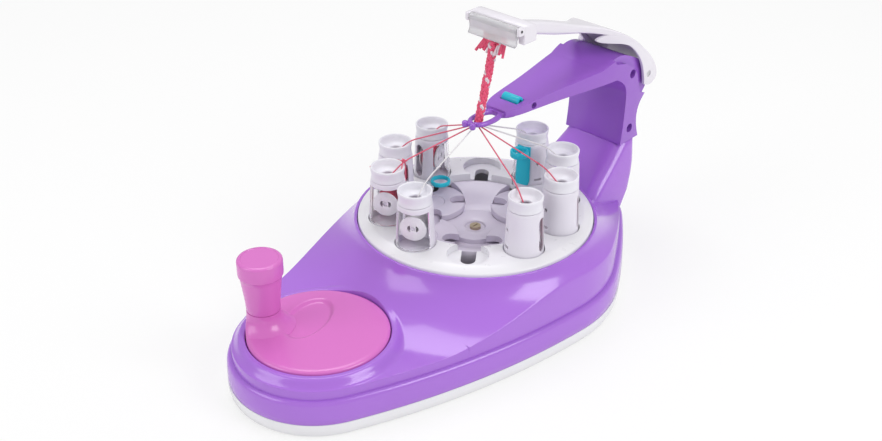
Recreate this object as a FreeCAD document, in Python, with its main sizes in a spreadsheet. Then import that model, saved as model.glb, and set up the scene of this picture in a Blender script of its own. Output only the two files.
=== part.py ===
"""Hand-cranked toy braiding machine, in millimetres.

The origin is on the table under the platform's axis, +Z is up and the crank
stands on the -X side. The crank turns an idler, the idler turns the white
carousel that carries eight thread pods, and the carousel's inner teeth turn
four notched rotors. The threads meet at an eye on the arm, and the finished
braid is drawn up by a hinged take-up arm with a clip.
"""
import FreeCAD, Part
import math
import os
import Sketcher
from FreeCAD import Vector

doc = FreeCAD.newDocument("BraidingMachine")
sheet = doc.addObject("Spreadsheet::Sheet", "Sizes")

# Driving dimensions: alias, value, meaning
DIMENSIONS = [
    ("crank_distance", 154.0, "platform axis to crank axis"),
    ("crank_end_radius", 61.5, "plan radius of the base round the crank"),
    ("lobe_radius", 102.0, "plan radius of the base round the platform"),
    ("lobe_offset", 8.0, "centre of that radius behind the platform axis"),
    ("rear_radius", 52.0, "plan radius of the base's rear end"),
    ("rear_offset", 97.0, "centre of that radius behind the platform axis"),
    ("side_radius", 520.0, "plan radius of the long curved sides"),
    ("shell_wall", 2.5, "wall of the purple mouldings"),
    ("tray_wall", 2.2, "wall of the white tray"),
    ("foot_height", 1.2, "rubber foot below the tray"),
    ("tray_top", 11.0, "top edge of the white skirt"),
    ("plinth_top", 28.0, "top of the lower band of the shell"),
    ("deck_floor", 33.0, "lowest outer surface between crank and platform"),
    ("crank_rim_top", 40.5, "rim of the crank's well"),
    ("collar_top", 65.4, "rim round the carousel"),
    ("carousel_radius", 85.0, "outer radius of the carousel"),
    ("carousel_bore", 52.0, "inner radius of the carousel"),
    ("carousel_top", 69.5, "flat top of the carousel"),
    ("carousel_under", 61.0, "underside of the carousel's plate"),
    ("moving_gap", 0.6, "gap round a turning disc"),
    ("seat_circle", 63.6, "radius of the circle of pod seats"),
    ("seat_radius", 14.6, "radius of one pod seat"),
    ("seat_floor", 64.5, "floor of a pod seat"),
    ("seat_count", 10.0, "seats round the carousel"),
    ("seat_turn", 1.2, "angle of the first seat from +X at rest"),
    ("notch_radius", 5.2, "half width of the slot in a seat"),
    ("gear_module", 3.5, "module of every gear"),
    ("gear_low", 24.0, "underside of the gears"),
    ("gear_width", 6.0, "face width of the gears"),
    ("gear_play", 0.7, "backlash at the pitch circle"),
    ("carousel_teeth", 46.0, "outer teeth of the carousel"),
    ("carousel_inner_teeth", 36.0, "inner teeth of the carousel"),
    ("crank_teeth", 20.0, "teeth of the crank gear"),
    ("idler_teeth", 11.0, "teeth of the idler"),
    ("rotor_teeth", 12.0, "teeth of a rotor"),
    ("rotor_radius", 24.4, "radius of a rotor's disc"),
    ("rotor_top", 60.0, "top of a rotor"),
    ("island_rim", 64.0, "rim height of the fixed island"),
    ("hub_top", 55.4, "top of the island's hub"),
    ("hub_radius", 21.5, "radius of the island's hub"),
    ("crank_radius", 47.4, "radius of the crank disc"),
    ("crank_top", 42.0, "top of the crank disc"),
    ("knob_throw", 36.5, "crank axis to knob axis"),
    ("knob_turn", 123.0, "angle of the knob from +X at rest"),
    ("knob_waist", 54.0, "seam between boss and knob"),
    ("knob_top", 93.0, "top of the knob"),
    ("knob_top_radius", 15.0, "radius at the knob's top"),
    ("knob_waist_radius", 11.4, "radius at the knob's waist"),
    ("pod_base_radius", 14.0, "radius of a pod at its foot"),
    ("pod_neck_radius", 12.3, "radius of a pod under its cap"),
    ("pod_neck", 101.0, "height of the pod's neck"),
    ("pod_top", 110.5, "height of the cap's rim"),
    ("pod_wall", 1.15, "wall of a pod"),
    ("spool_height", 83.5, "height of a spool's axis"),
    ("spool_radius", 9.3, "radius of a spool's flange"),
    ("spool_half", 6.7, "half the length of a spool"),
    ("barrel_radius", 7.0, "radius of a spool's barrel"),
    ("spindle_radius", 1.6, "spindle that a spool turns on"),
    ("spindle_play", 0.06, "running fit of a spool on its spindle"),
    ("winding_wire", 1.2, "diameter of the wound thread"),
    ("winding_pitch", 1.65, "pitch of the wound thread"),
    ("winding_loops", 6.0, "turns that show on a spool"),
    ("thread_size", 1.0, "diameter of a taut thread"),
    ("eye_height", 138.0, "middle of the thread eye"),
    ("eye_centre", 6.0, "centre of the eye behind the platform axis"),
    ("eye_half_length", 11.0, "half the eye's length"),
    ("eye_half_width", 9.0, "half the eye's width"),
    ("eye_bar", 3.4, "thickness of the eye's bar"),
    ("arm_half_tip", 14.5, "half width of the arm near the eye"),
    ("arm_half_elbow", 27.5, "half width of the arm at the elbow"),
    ("arm_seam", 78.0, "seam between the base's post and the arm"),
    ("arm_under", 136.0, "underside of the arm"),
    ("pivot_x", 168.0, "take-up pivot behind the platform axis"),
    ("pivot_z", 129.0, "take-up pivot above the table"),
    ("pivot_radius", 2.5, "radius of the take-up pivot pin"),
    ("hood_half", 27.5, "half width of the take-up arm's hood"),
    ("clip_half", 24.5, "half width of the clip"),
    ("clip_x", 18.0, "front of the clip"),
    ("clip_z", 196.0, "underside of the clip"),
    ("braid_size", 6.6, "diameter of the braid"),
]
for row, (alias, number, meaning) in enumerate(DIMENSIONS, start=1):
    sheet.set("A%d" % row, meaning)
    sheet.set("B%d" % row, str(number))
    sheet.setAlias("B%d" % row, alias)
doc.recompute()

kept = []


def size(alias):
    """Value of one named size."""
    return float(sheet.get(alias))


def keep(item, node):
    """Names a finished sub-part after its node and keeps it for export."""
    item.Label = node
    kept.append(item)
    return item


def feature(node, shape):
    """A sub-part whose shape is worked out here from the named sizes."""
    item = doc.addObject("Part::Feature", node)
    item.Shape = shape
    return keep(item, node)


def polar(radius, degrees, height=0.0):
    """Point at a radius, angle and height."""
    turn = math.radians(degrees)
    return Vector(radius * math.cos(turn), radius * math.sin(turn), height)


def turned(node, profile, x="0", y="0", final=True):
    """A body of revolution from (radius, height) expressions, on its own axis."""
    body = doc.addObject("PartDesign::Body", node + "_body")
    sketch = body.newObject("Sketcher::SketchObject", node + "_profile")
    plane = [p for p in body.Origin.OriginFeatures if p.Role == "XZ_Plane"][0]
    sketch.AttachmentSupport = [(plane, "")]
    sketch.MapMode = "FlatFace"
    spots = [Vector(evaluate(r), evaluate(z), 0) for r, z in profile]
    count = len(spots)
    for i in range(count):
        sketch.addGeometry(Part.LineSegment(spots[i], spots[(i + 1) % count]), False)
    for i in range(count):
        joint = Sketcher.Constraint("Coincident", i, 2, (i + 1) % count, 1)
        sketch.addConstraint(joint)
    for i, (r, z) in enumerate(profile):
        bind(sketch, "DistanceX", i, r, spots[i].x, -2)
        bind(sketch, "DistanceY", i, z, spots[i].y, -1)
    turn = body.newObject("PartDesign::Revolution", node + "_turning")
    turn.Profile = sketch
    turn.ReferenceAxis = (sketch, ["V_Axis"])
    turn.Angle = 360
    sketch.Visibility = False
    body.setExpression("Placement.Base.x", x)
    body.setExpression("Placement.Base.y", y)
    doc.recompute()
    return keep(body, node) if final else body


def bind(sketch, kind, line, formula, number, axis):
    """Ties one coordinate of a profile's corner to an expression."""
    if abs(number) < 1e-9:
        sketch.addConstraint(Sketcher.Constraint("PointOnObject", line, 1, axis))
        return
    rule = Sketcher.Constraint(kind, -1, 1, line, 1, number)
    place = sketch.addConstraint(rule)
    sketch.setExpression("Constraints[%d]" % place, formula)


def evaluate(formula):
    """Number that an expression on the sizes gives."""
    answer = sheet.evalExpression(formula)
    return float(getattr(answer, "Value", answer))


def cylinder(name, radius, height, x="0", y="0", z="0"):
    """Upright cylinder bound to the named sizes."""
    item = doc.addObject("Part::Cylinder", name)
    item.setExpression("Radius", radius)
    item.setExpression("Height", height)
    item.setExpression("Placement.Base.x", x)
    item.setExpression("Placement.Base.y", y)
    item.setExpression("Placement.Base.z", z)
    return item


def cut(name, base, tool):
    """One solid less another."""
    item = doc.addObject("Part::Cut", name)
    item.Base = base
    item.Tool = tool
    return item


def fuse(name, pieces):
    """Several solids as one."""
    item = doc.addObject("Part::MultiFuse", name)
    item.Shapes = pieces
    return item


# Plan outline of the base
def arc(centre, radius, start, end):
    """Arc edge in plan from one angle to another, in degrees."""
    middle = (start + end) / 2.0
    ends = [centre + polar(radius, a) for a in (start, middle, end)]
    return Part.Arc(*ends).toShape()


def egg(inset, height):
    """Closed outline of the base: three round ends and long curved sides."""
    centres = [-size("crank_distance"), size("lobe_offset"), size("rear_offset")]
    radii = [size(a) - inset for a in ("crank_end_radius", "lobe_radius", "rear_radius")]
    long_radius = size("side_radius") - inset
    points = []
    for near, far in ((0, 1), (1, 2)):
        gap = centres[far] - centres[near]
        a = long_radius - radii[near]
        b = long_radius - radii[far]
        along = (a * a - b * b + gap * gap) / (2.0 * gap)
        drop = math.sqrt(a * a - along * along)
        side = Vector(centres[near] + along, -drop, height)
        points.append(side)
    turns = []
    for side, near, far in ((points[0], 0, 1), (points[1], 1, 2)):
        for place in (near, far):
            dx = centres[place] - side.x
            turns.append(math.degrees(math.atan2(-side.y, dx)))
    edges = []
    spot = [Vector(c, 0, height) for c in centres]
    flip = [Vector(p.x, -p.y, height) for p in points]
    edges.append(arc(spot[2], radii[2], -turns[3], turns[3]))
    edges.append(arc(points[1], long_radius, turns[3], turns[2]))
    edges.append(arc(spot[1], radii[1], turns[2], turns[1]))
    edges.append(arc(points[0], long_radius, turns[1], turns[0]))
    edges.append(arc(spot[0], radii[0], turns[0], 360.0 - turns[0]))
    edges.append(arc(flip[0], long_radius, -turns[0], -turns[1]))
    edges.append(arc(spot[1], radii[1], -turns[1], -turns[2]))
    edges.append(arc(flip[1], long_radius, -turns[2], -turns[3]))
    return Part.Wire(Part.__sortEdges__(edges))


def stacked(levels):
    """Solid through the outline at (inset, height) levels, flat sided between them."""
    return Part.makeLoft([egg(i, z) for i, z in levels], True, True)


def spun(profile, centre):
    """Solid of revolution of (radius, height) points about a vertical axis."""
    wire = Part.makePolygon([Vector(r, 0, z) for r, z in profile + profile[:1]])
    solid = Part.Face(wire).revolve(Vector(0, 0, 0), Vector(0, 0, 1), 360)
    solid.translate(centre)
    return solid


def drum(radius, low, high, centre=Vector(0, 0, 0)):
    """Upright cylinder between two heights."""
    foot = Vector(centre.x, centre.y, low)
    return Part.makeCylinder(radius, high - low, foot, Vector(0, 0, 1))


crank_spot = Vector(-size("crank_distance"), 0, 0)
idler_x = -(size("carousel_teeth") + size("idler_teeth")) * size("gear_module") / 2.0
idler_spot = Vector(idler_x, 0, 0)
rotor_circle = (size("carousel_inner_teeth") - size("rotor_teeth")) * size("gear_module") / 2.0
gear_high = size("gear_low") + size("gear_width")

# White tray that closes the base from below
TRAY_FLOOR = 2.0
TRAY_LIP = 3.0
LIP_PLAY = 0.25
foot = size("foot_height")
tray_top = size("tray_top")
skirt = stacked([(2.4, foot), (0.7, foot + 2.0), (0.0, foot + 5.0), (0.0, tray_top)])
lip_inset = size("shell_wall") + LIP_PLAY
skirt = skirt.fuse(stacked([(lip_inset, tray_top - 1.0), (lip_inset, tray_top + TRAY_LIP)]))
hollow_inset = lip_inset + size("tray_wall")
floor = foot + TRAY_FLOOR
tray = skirt.cut(stacked([(hollow_inset, floor), (hollow_inset, tray_top + TRAY_LIP + 1.0)]))
SCREW_SPOTS = [(15.5 - size("crank_distance") - size("crank_end_radius"), 0.0), (-112.0, 40.0), (-112.0, -40.0), (20.0, 90.6), (20.0, -90.6),
               (112.0, 36.0), (112.0, -36.0)]
BOSS_RADIUS = 4.2
SCREW_HEAD = 3.2
SCREW_SHANK = 1.5
deck_low = size("gear_low") - 3.5
for x, y in SCREW_SPOTS:
    tray = tray.fuse(drum(BOSS_RADIUS, floor - 0.5, tray_top, Vector(x, y, 0)))
    tray = tray.cut(drum(SCREW_HEAD + 0.2, foot - 0.1, foot + 4.0, Vector(x, y, 0)))
    tray = tray.cut(drum(SCREW_SHANK + 0.2, foot, tray_top + 1.0, Vector(x, y, 0)))
FOOT_SPOTS = [(-195.0, 24.0), (-195.0, -24.0), (30.0, 80.0), (30.0, -80.0), (136.0, 14.0), (136.0, -14.0)]
FOOT_RADIUS = 6.0
CENTRE_FOOT_RADIUS = 12.0
FOOT_SINK = 1.0
for x, y in FOOT_SPOTS:
    tray = tray.cut(drum(FOOT_RADIUS, foot - 0.1, foot + FOOT_SINK, Vector(x, y, 0)))
tray = tray.cut(drum(CENTRE_FOOT_RADIUS, foot - 0.1, foot + FOOT_SINK))
feature("bottom_tray", tray)

# Rubber feet
pads = [drum(FOOT_RADIUS - 0.05, 0.0, foot + FOOT_SINK, Vector(x, y, 0)) for x, y in FOOT_SPOTS]
feature("rubber_feet", Part.makeCompound(pads))
keep(cylinder("centre_foot_pad", "11.95 mm", "Sizes.foot_height + 1.0"), "centre_foot")

# Screws that hold the tray to the shell
SCREW_LENGTH = 16.0


def screw(spot, direction, length=SCREW_LENGTH, head=SCREW_HEAD, shank=SCREW_SHANK):
    """Pan head screw, its head's top at the spot, its shank along the direction."""
    head_part = Part.makeCylinder(head, 2.0, spot, direction)
    shank_part = Part.makeCylinder(shank, length, spot, direction)
    driver = Part.makeBox(head * 1.2, 0.8, 1.0, Vector(-head * 0.6, -0.4, -0.2))
    driver.Placement = FreeCAD.Placement(spot, FreeCAD.Rotation(Vector(0, 0, 1), direction))
    return head_part.fuse(shank_part).cut(driver)


base_screws = [screw(Vector(x, y, foot + 1.9), Vector(0, 0, 1)) for x, y in SCREW_SPOTS]
feature("base_screws", Part.makeCompound(base_screws))

# Purple base shell
wall = size("shell_wall")
plinth_top = size("plinth_top")
rim_top = size("crank_rim_top")
collar_top = size("collar_top")
deck = size("deck_floor")
opening = size("carousel_radius") + size("moving_gap")
plinth = stacked([(0.0, tray_top), (0.5, plinth_top - 4.0), (1.4, plinth_top - 1.2), (4.0, plinth_top)])
flanks = stacked([(4.0, plinth_top - 1.0), (10.0, collar_top + 1.0)])
crank_rim = size("crank_radius") + size("moving_gap")
tower = spun([(0, plinth_top - 2), (crank_rim + 9.5, plinth_top - 2), (crank_rim + 8.6, rim_top - 5),
              (crank_rim + 7.0, rim_top - 1.6), (crank_rim + 4.6, rim_top), (0, rim_top)], crank_spot)
flare = [(0, plinth_top - 2), (270, plinth_top - 2), (270, deck)]
STEPS = 6
for i in range(STEPS + 1):
    t = i / STEPS
    flare.append((opening + 6.0 + 46.0 * (1 - t) ** 1.7, deck + (collar_top - 2.5 - deck) * t ** 1.6))
flare += [(opening + 4.4, collar_top - 0.7), (opening + 2.2, collar_top), (0, collar_top)]
saddle = flanks.common(spun(flare, Vector(0, 0, 0)).fuse(tower))


def rounded(x0, x1, half, corner, height):
    """Rounded rectangle at a height, between two x values."""
    c = min(corner, half * 0.9, (x1 - x0) * 0.45)
    k = c * (1 - math.sqrt(0.5))
    edges = []
    corners = [(x1, half, -1, -1), (x0, half, 1, -1), (x0, -half, 1, 1), (x1, -half, -1, 1)]
    ends = []
    for cx, cy, sx, sy in corners:
        a = Vector(cx, cy + sy * c, height)
        b = Vector(cx + sx * c, cy, height)
        if (sx, sy) in ((1, -1), (-1, 1)):
            a, b = b, a
        m = Vector(cx + sx * k, cy + sy * k, height)
        ends.append((a, b))
        edges.append(Part.Arc(a, m, b).toShape())
    for i in range(4):
        edges.append(Part.LineSegment(ends[i][1], ends[(i + 1) % 4][0]).toShape())
    return Part.Wire(Part.__sortEdges__(edges))


POST_LEVELS = [(24.0, 96.0, 143.0, 30.0), (44.0, 100.0, 151.0, 31.0), (60.0, 112.0, 157.5, 30.0),
               (size("arm_seam"), 137.0, 161.5, 27.0)]
post = Part.makeLoft([rounded(x0, x1, half, 11.0, z) for z, x0, x1, half in POST_LEVELS], True, False)
hollow_levels = [(z if i else z - 1.0, x0 + wall, x1 - wall, half - wall)
                 for i, (z, x0, x1, half) in enumerate(POST_LEVELS)]
hollow_levels[-1] = (size("arm_seam") - wall,) + hollow_levels[-1][1:]
post_hollow = Part.makeLoft([rounded(x0, x1, half, 9.0, z) for z, x0, x1, half in hollow_levels], True, False)
shell = plinth.fuse(saddle).fuse(post)
cavity = stacked([(wall, tray_top - 1.0), (wall, tray_top + TRAY_LIP + 0.4), (6.8, tray_top + TRAY_LIP + 4.0),
                  (6.8, deck - wall)])
well = drum(crank_rim, rim_top - 5.0, rim_top + 20.0, crank_spot)
shell = shell.cut(cavity).cut(drum(opening, deck - wall - 1.0, collar_top + 60.0))
shell = shell.cut(well)
SHAFT_RADIUS = 6.0
SHAFT_PLAY = 0.06
shell = shell.cut(drum(SHAFT_RADIUS + SHAFT_PLAY, deck - wall - 1.0, rim_top, crank_spot))
post_hollow = post_hollow.cut(drum(opening + wall, 0.0, 70.0))
shell = shell.cut(post_hollow)
for x, y in SCREW_SPOTS:
    pillar = drum(BOSS_RADIUS, tray_top + 0.1, deck - wall + 0.5, Vector(x, y, 0))
    shell = shell.fuse(pillar).cut(drum(SCREW_SHANK, tray_top, tray_top + 9.0, Vector(x, y, 0)))
feature("base_shell", shell.removeSplitter())

# Gear deck inside the base: a plate that carries the gears on moulded posts
POST_PLAY = 0.06
GEAR_LIFT = 0.3
deck_high = size("gear_low") - GEAR_LIFT
DECK_THICKNESS = 2.5
deck_under = deck_high - DECK_THICKNESS
deck_plate = stacked([(9.0, deck_under), (9.0, deck_high)])
ROTOR_POST = 4.0
IDLER_POST = 5.0
rotor_gap_angle = size("seat_turn") + 36.0
ROTOR_SPREAD = (54.0, -54.0, 126.0, -126.0)
rotor_angles = [rotor_gap_angle + a for a in ROTOR_SPREAD]
for x, y in SCREW_SPOTS:
    deck_plate = deck_plate.cut(drum(BOSS_RADIUS + 0.3, deck_under - 1.0, deck_high + 1.0, Vector(x, y, 0)))
deck_plate = deck_plate.cut(drum(SHAFT_RADIUS + SHAFT_PLAY, deck_under - 1.0, deck_high + 1.0, crank_spot))
for angle in rotor_angles:
    spot = polar(rotor_circle, angle)
    deck_plate = deck_plate.fuse(drum(ROTOR_POST, deck_under, size("rotor_top") - 4.0, spot))
deck_plate = deck_plate.fuse(drum(IDLER_POST, deck_under, gear_high + 0.2, idler_spot))
ISLAND_POST = 9.0
deck_plate = deck_plate.fuse(drum(ISLAND_POST, deck_under, size("gear_low") + 20.0))
deck_plate = deck_plate.cut(drum(SCREW_SHANK, size("gear_low") + 4.0, size("gear_low") + 21.0))
LEG_SPOTS = [(-80.0, 20.0), (-80.0, -20.0), (50.0, 40.0), (50.0, -40.0), (-20.0, 0.0)]
for x, y in LEG_SPOTS:
    deck_plate = deck_plate.fuse(drum(3.0, floor, deck_under + 0.5, Vector(x, y, 0)))
feature("gear_deck", deck_plate)

# Gears: involute flanks in three chords, with backlash
PRESSURE_ANGLE = math.radians(24.0)
ADDENDUM = 0.8
DEDENDUM = 1.05


def half_tooth(teeth, radius, play):
    """Half angle of a tooth at a radius, in radians."""
    pitch = teeth * size("gear_module") / 2.0
    base = pitch * math.cos(PRESSURE_ANGLE)
    slope = math.acos(min(1.0, base / max(radius, base)))
    lead = math.tan(PRESSURE_ANGLE) - PRESSURE_ANGLE
    return math.pi / (2 * teeth) - play / (2 * pitch) + lead - (math.tan(slope) - slope)


def toothed(teeth, phase, play, grow=0.0):
    """Closed toothed outline in plan; phase is the angle of one tooth's middle."""
    pitch = teeth * size("gear_module") / 2.0
    root = pitch - DEDENDUM * size("gear_module") - grow
    tip = pitch + ADDENDUM * size("gear_module") - grow
    corners = []
    for i in range(int(teeth)):
        middle = math.radians(phase) + 2 * math.pi * i / teeth
        flank = []
        for radius in (root, (root + tip) / 2.0, tip):
            flank.append((radius, half_tooth(teeth, radius, play)))
        for radius, half in flank:
            corners.append(polar(radius, math.degrees(middle - half)))
        for radius, half in reversed(flank):
            corners.append(polar(radius, math.degrees(middle + half)))
    return Part.Face(Part.makePolygon(corners + corners[:1]))


def gear(teeth, phase, low, high):
    """Spur gear solid."""
    face = toothed(teeth, phase, size("gear_play"))
    face.translate(Vector(0, 0, low))
    return face.extrude(Vector(0, 0, high - low))


# Fixed island in the middle of the platform
rotor_bore = size("rotor_radius") + 0.5
ISLAND_GAP = 0.5
island_radius = size("carousel_bore") - ISLAND_GAP
hub = size("hub_radius")
ISLAND_DIP = 3.2
SCREW_RECESS = 5.0
island_profile = [
    ("0", "Sizes.gear_low + 20.1"), ("Sizes.hub_radius - 8.0", "Sizes.gear_low + 20.1"),
    ("Sizes.hub_radius - 4.0", "Sizes.hub_top - 6.0"), ("Sizes.carousel_bore - 0.5", "Sizes.hub_top - 6.0"),
    ("Sizes.carousel_bore - 0.5", "Sizes.island_rim - 0.8"), ("Sizes.carousel_bore - 1.6", "Sizes.island_rim"),
    ("Sizes.carousel_bore - 8.0", "Sizes.island_rim - 2.4"), ("Sizes.hub_radius + 7.0", "Sizes.hub_top - 2.2"),
    ("Sizes.hub_radius + 0.6", "Sizes.hub_top - 3.2"), ("Sizes.hub_radius", "Sizes.hub_top - 0.8"),
    ("Sizes.hub_radius - 0.8", "Sizes.hub_top"), ("7.5", "Sizes.hub_top - 0.8"),
    ("6.5", "Sizes.hub_top - 2.6"), ("0", "Sizes.hub_top - 2.6")]
island_blank = turned("island_blank", island_profile, final=False)
wells = []
for i, angle in enumerate(rotor_angles):
    x = "cos(Sizes.seat_turn + %g) * (Sizes.carousel_inner_teeth - Sizes.rotor_teeth) * Sizes.gear_module / 2"
    turn = 36.0 + ROTOR_SPREAD[i]
    here = [(x % turn).replace("Sizes.seat_turn + %g" % turn, "(Sizes.seat_turn + %g) * 1 deg" % turn)]
    here.append(here[0].replace("cos", "sin", 1))
    low = "Sizes.rotor_top - 5.6"
    wells.append(cylinder("rotor_well_%d" % (i + 1), "Sizes.rotor_radius + 0.5", "60 mm", here[0], here[1], low))
    wells.append(cylinder("rotor_hole_%d" % (i + 1), "7.6 mm", "60 mm", here[0], here[1], "20 mm"))
wells.append(cylinder("island_screw_hole", "1.7 mm", "60 mm", z="20 mm"))
doc.recompute()
keep(cut("island_cut", island_blank, fuse("island_wells", wells)), "platform_island")

hub_screw = screw(Vector(0, 0, size("hub_top") - 2.6 + 2.0), Vector(0, 0, -1), 14.0, 4.0, 1.45)
feature("hub_screw", hub_screw)

# Crank disc with its boss, shaft and gear
SHAFT_END = deck_under - 1.5
disc = spun([(0, rim_top - 4.4), (size("crank_radius") - 1.0, rim_top - 4.4), (size("crank_radius"), rim_top - 3.4),
             (size("crank_radius"), rim_top - 0.6), (size("crank_radius") - 1.2, rim_top + 0.9),
             (size("crank_radius") - 4.0, size("crank_top")), (0, size("crank_top") + 0.6)], crank_spot)
knob_spot = crank_spot + polar(size("knob_throw"), size("knob_turn"))
boss_profile = [(0, rim_top - 1.0), (size("knob_waist_radius") + 6.0, rim_top - 1.0),
                (size("knob_waist_radius") + 3.0, size("crank_top") + 2.0),
                (size("knob_waist_radius") + 1.0, size("crank_top") + 5.5),
                (size("knob_waist_radius"), size("knob_waist")), (0, size("knob_waist"))]
boss = spun(boss_profile, knob_spot).common(drum(size("crank_radius") - 0.2, 0.0, 90.0, crank_spot))
thumb_spot = crank_spot + polar(size("knob_throw") * 0.36, size("knob_turn") - 62.0, size("crank_top"))
THUMB = (24.0, 15.0, 2.4)
thumb = Part.makeSphere(1.0)
matrix = FreeCAD.Matrix()
matrix.scale(*THUMB)
thumb = thumb.transformGeometry(matrix)
thumb.rotate(Vector(0, 0, 0), Vector(0, 0, 1), size("knob_turn") + 84.0)
thumb.translate(thumb_spot + Vector(0, 0, 1.2))
disc = disc.fuse(boss).cut(thumb)
SPINDLE = 4.0
spindle_top = size("knob_top") - 12.0
disc = disc.fuse(drum(SPINDLE, size("knob_waist") - 1.0, spindle_top, knob_spot))
SHAFT_SQUARE = 7.0
square = Part.makeBox(SHAFT_SQUARE, SHAFT_SQUARE, 40.0, crank_spot + Vector(-SHAFT_SQUARE / 2, -SHAFT_SQUARE / 2, 0))
neck = drum(SHAFT_RADIUS, gear_high, rim_top - 4.0, crank_spot)
neck = neck.fuse(drum(20.0, 0.0, 100.0, crank_spot).common(square).common(drum(20.0, SHAFT_END, gear_high + 0.5, crank_spot)))
feature("crank_disc", disc.fuse(neck))

crank_gear = gear(size("crank_teeth"), 180.0 / size("crank_teeth"), size("gear_low"), gear_high - 0.2)
crank_gear.translate(crank_spot)
crank_gear = crank_gear.fuse(drum(SHAFT_RADIUS, deck_under, size("gear_low"), crank_spot))
square_hole = Part.makeBox(SHAFT_SQUARE + 0.1, SHAFT_SQUARE + 0.1, 60.0,
                           crank_spot + Vector(-SHAFT_SQUARE / 2 - 0.05, -SHAFT_SQUARE / 2 - 0.05, 0))
crank_gear = crank_gear.cut(square_hole)
GEAR_WINDOWS = 5
for i in range(GEAR_WINDOWS):
    window = crank_spot + polar(20.0, 360.0 * i / GEAR_WINDOWS)
    crank_gear = crank_gear.cut(drum(6.5, size("gear_low") + 2.0, gear_high + 1.0, window))
feature("crank_gear", crank_gear)

# Knob that turns on the crank's spindle
waist = "Sizes.knob_waist + 0.3"
knob_x = "-Sizes.crank_distance + Sizes.knob_throw * cos(Sizes.knob_turn * 1 deg)"
knob_y = "Sizes.knob_throw * sin(Sizes.knob_turn * 1 deg)"
knob_profile = [
    ("4.06", waist), ("Sizes.knob_waist_radius - 0.4", waist), ("Sizes.knob_waist_radius", "Sizes.knob_waist + 0.9"),
    ("Sizes.knob_waist_radius + 0.3", "Sizes.knob_waist + 6.0"),
    ("Sizes.knob_top_radius - 0.9", "Sizes.knob_top - 14.0"), ("Sizes.knob_top_radius", "Sizes.knob_top - 6.0"),
    ("Sizes.knob_top_radius", "Sizes.knob_top - 1.4"), ("Sizes.knob_top_radius - 1.3", "Sizes.knob_top - 0.2"),
    ("Sizes.knob_top_radius - 3.0", "Sizes.knob_top"), ("0", "Sizes.knob_top"),
    ("0", "Sizes.knob_top - 11.7"), ("4.06", "Sizes.knob_top - 11.7")]
turned("crank_knob", knob_profile, knob_x, knob_y)

# Idler between the crank and the carousel
IDLER_SPACE = 0.0
idler = gear(size("idler_teeth"), 180.0, size("gear_low"), gear_high)
idler = idler.cut(drum(IDLER_POST + POST_PLAY, 0.0, 100.0))
idler.translate(idler_spot)
feature("idler_gear", idler)

# Carousel: seat ring above, gear ring below
ring_profile = [
    ("Sizes.carousel_bore", "Sizes.carousel_under"), ("Sizes.carousel_radius - 9.0", "Sizes.carousel_under"),
    ("Sizes.carousel_radius - 9.0", "Sizes.gear_low + 6.0"), ("Sizes.carousel_radius - 3.4", "Sizes.gear_low + 6.0"),
    ("Sizes.carousel_radius - 3.4", "Sizes.deck_floor"), ("Sizes.carousel_radius", "Sizes.deck_floor + 1.0"),
    ("Sizes.carousel_radius", "Sizes.collar_top + 0.4"), ("Sizes.carousel_radius - 1.0", "Sizes.collar_top + 1.6"),
    ("Sizes.carousel_radius - 5.5", "Sizes.carousel_top - 0.4"), ("Sizes.carousel_radius - 7.0", "Sizes.carousel_top"),
    ("Sizes.carousel_bore + 1.4", "Sizes.carousel_top"), ("Sizes.carousel_bore", "Sizes.carousel_top - 1.4")]
ring_blank = turned("carousel_blank", ring_profile, final=False)
seat_tools = []
seats = int(size("seat_count"))
for i in range(seats):
    angle = "(Sizes.seat_turn + %g) * 1 deg" % (360.0 * i / seats)
    x = "Sizes.seat_circle * cos(%s)" % angle
    y = "Sizes.seat_circle * sin(%s)" % angle
    seat_tools.append(cylinder("seat_%d" % i, "Sizes.seat_radius", "20 mm", x, y, "Sizes.seat_floor"))
    seat_tools.append(cylinder("notch_%d" % i, "Sizes.notch_radius", "30 mm", x, y, "Sizes.carousel_under - 5"))
    way = doc.addObject("Part::Box", "slot_%d" % i)
    way.setExpression("Length", "Sizes.seat_circle - 40")
    way.setExpression("Width", "2 * Sizes.notch_radius")
    way.setExpression("Height", "30 mm")
    way.setExpression("Placement.Base.x", "40 * cos(%s) + Sizes.notch_radius * sin(%s)" % (angle, angle))
    way.setExpression("Placement.Base.y", "40 * sin(%s) - Sizes.notch_radius * cos(%s)" % (angle, angle))
    way.setExpression("Placement.Base.z", "Sizes.carousel_under - 5")
    way.setExpression("Placement.Rotation.Angle", angle)
    seat_tools.append(way)
doc.recompute()
keep(cut("carousel_cut", ring_blank, fuse("seat_tools", seat_tools)), "carousel_ring")

outer = toothed(size("carousel_teeth"), 180.0, size("gear_play"))
inner = toothed(size("carousel_inner_teeth"), 0.0, -size("gear_play"), (ADDENDUM - DEDENDUM) * size("gear_module"))
ring_gear = outer.cut(inner)
ring_gear.translate(Vector(0, 0, size("gear_low")))
feature("ring_gear", ring_gear.extrude(Vector(0, 0, size("gear_width"))))

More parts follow.
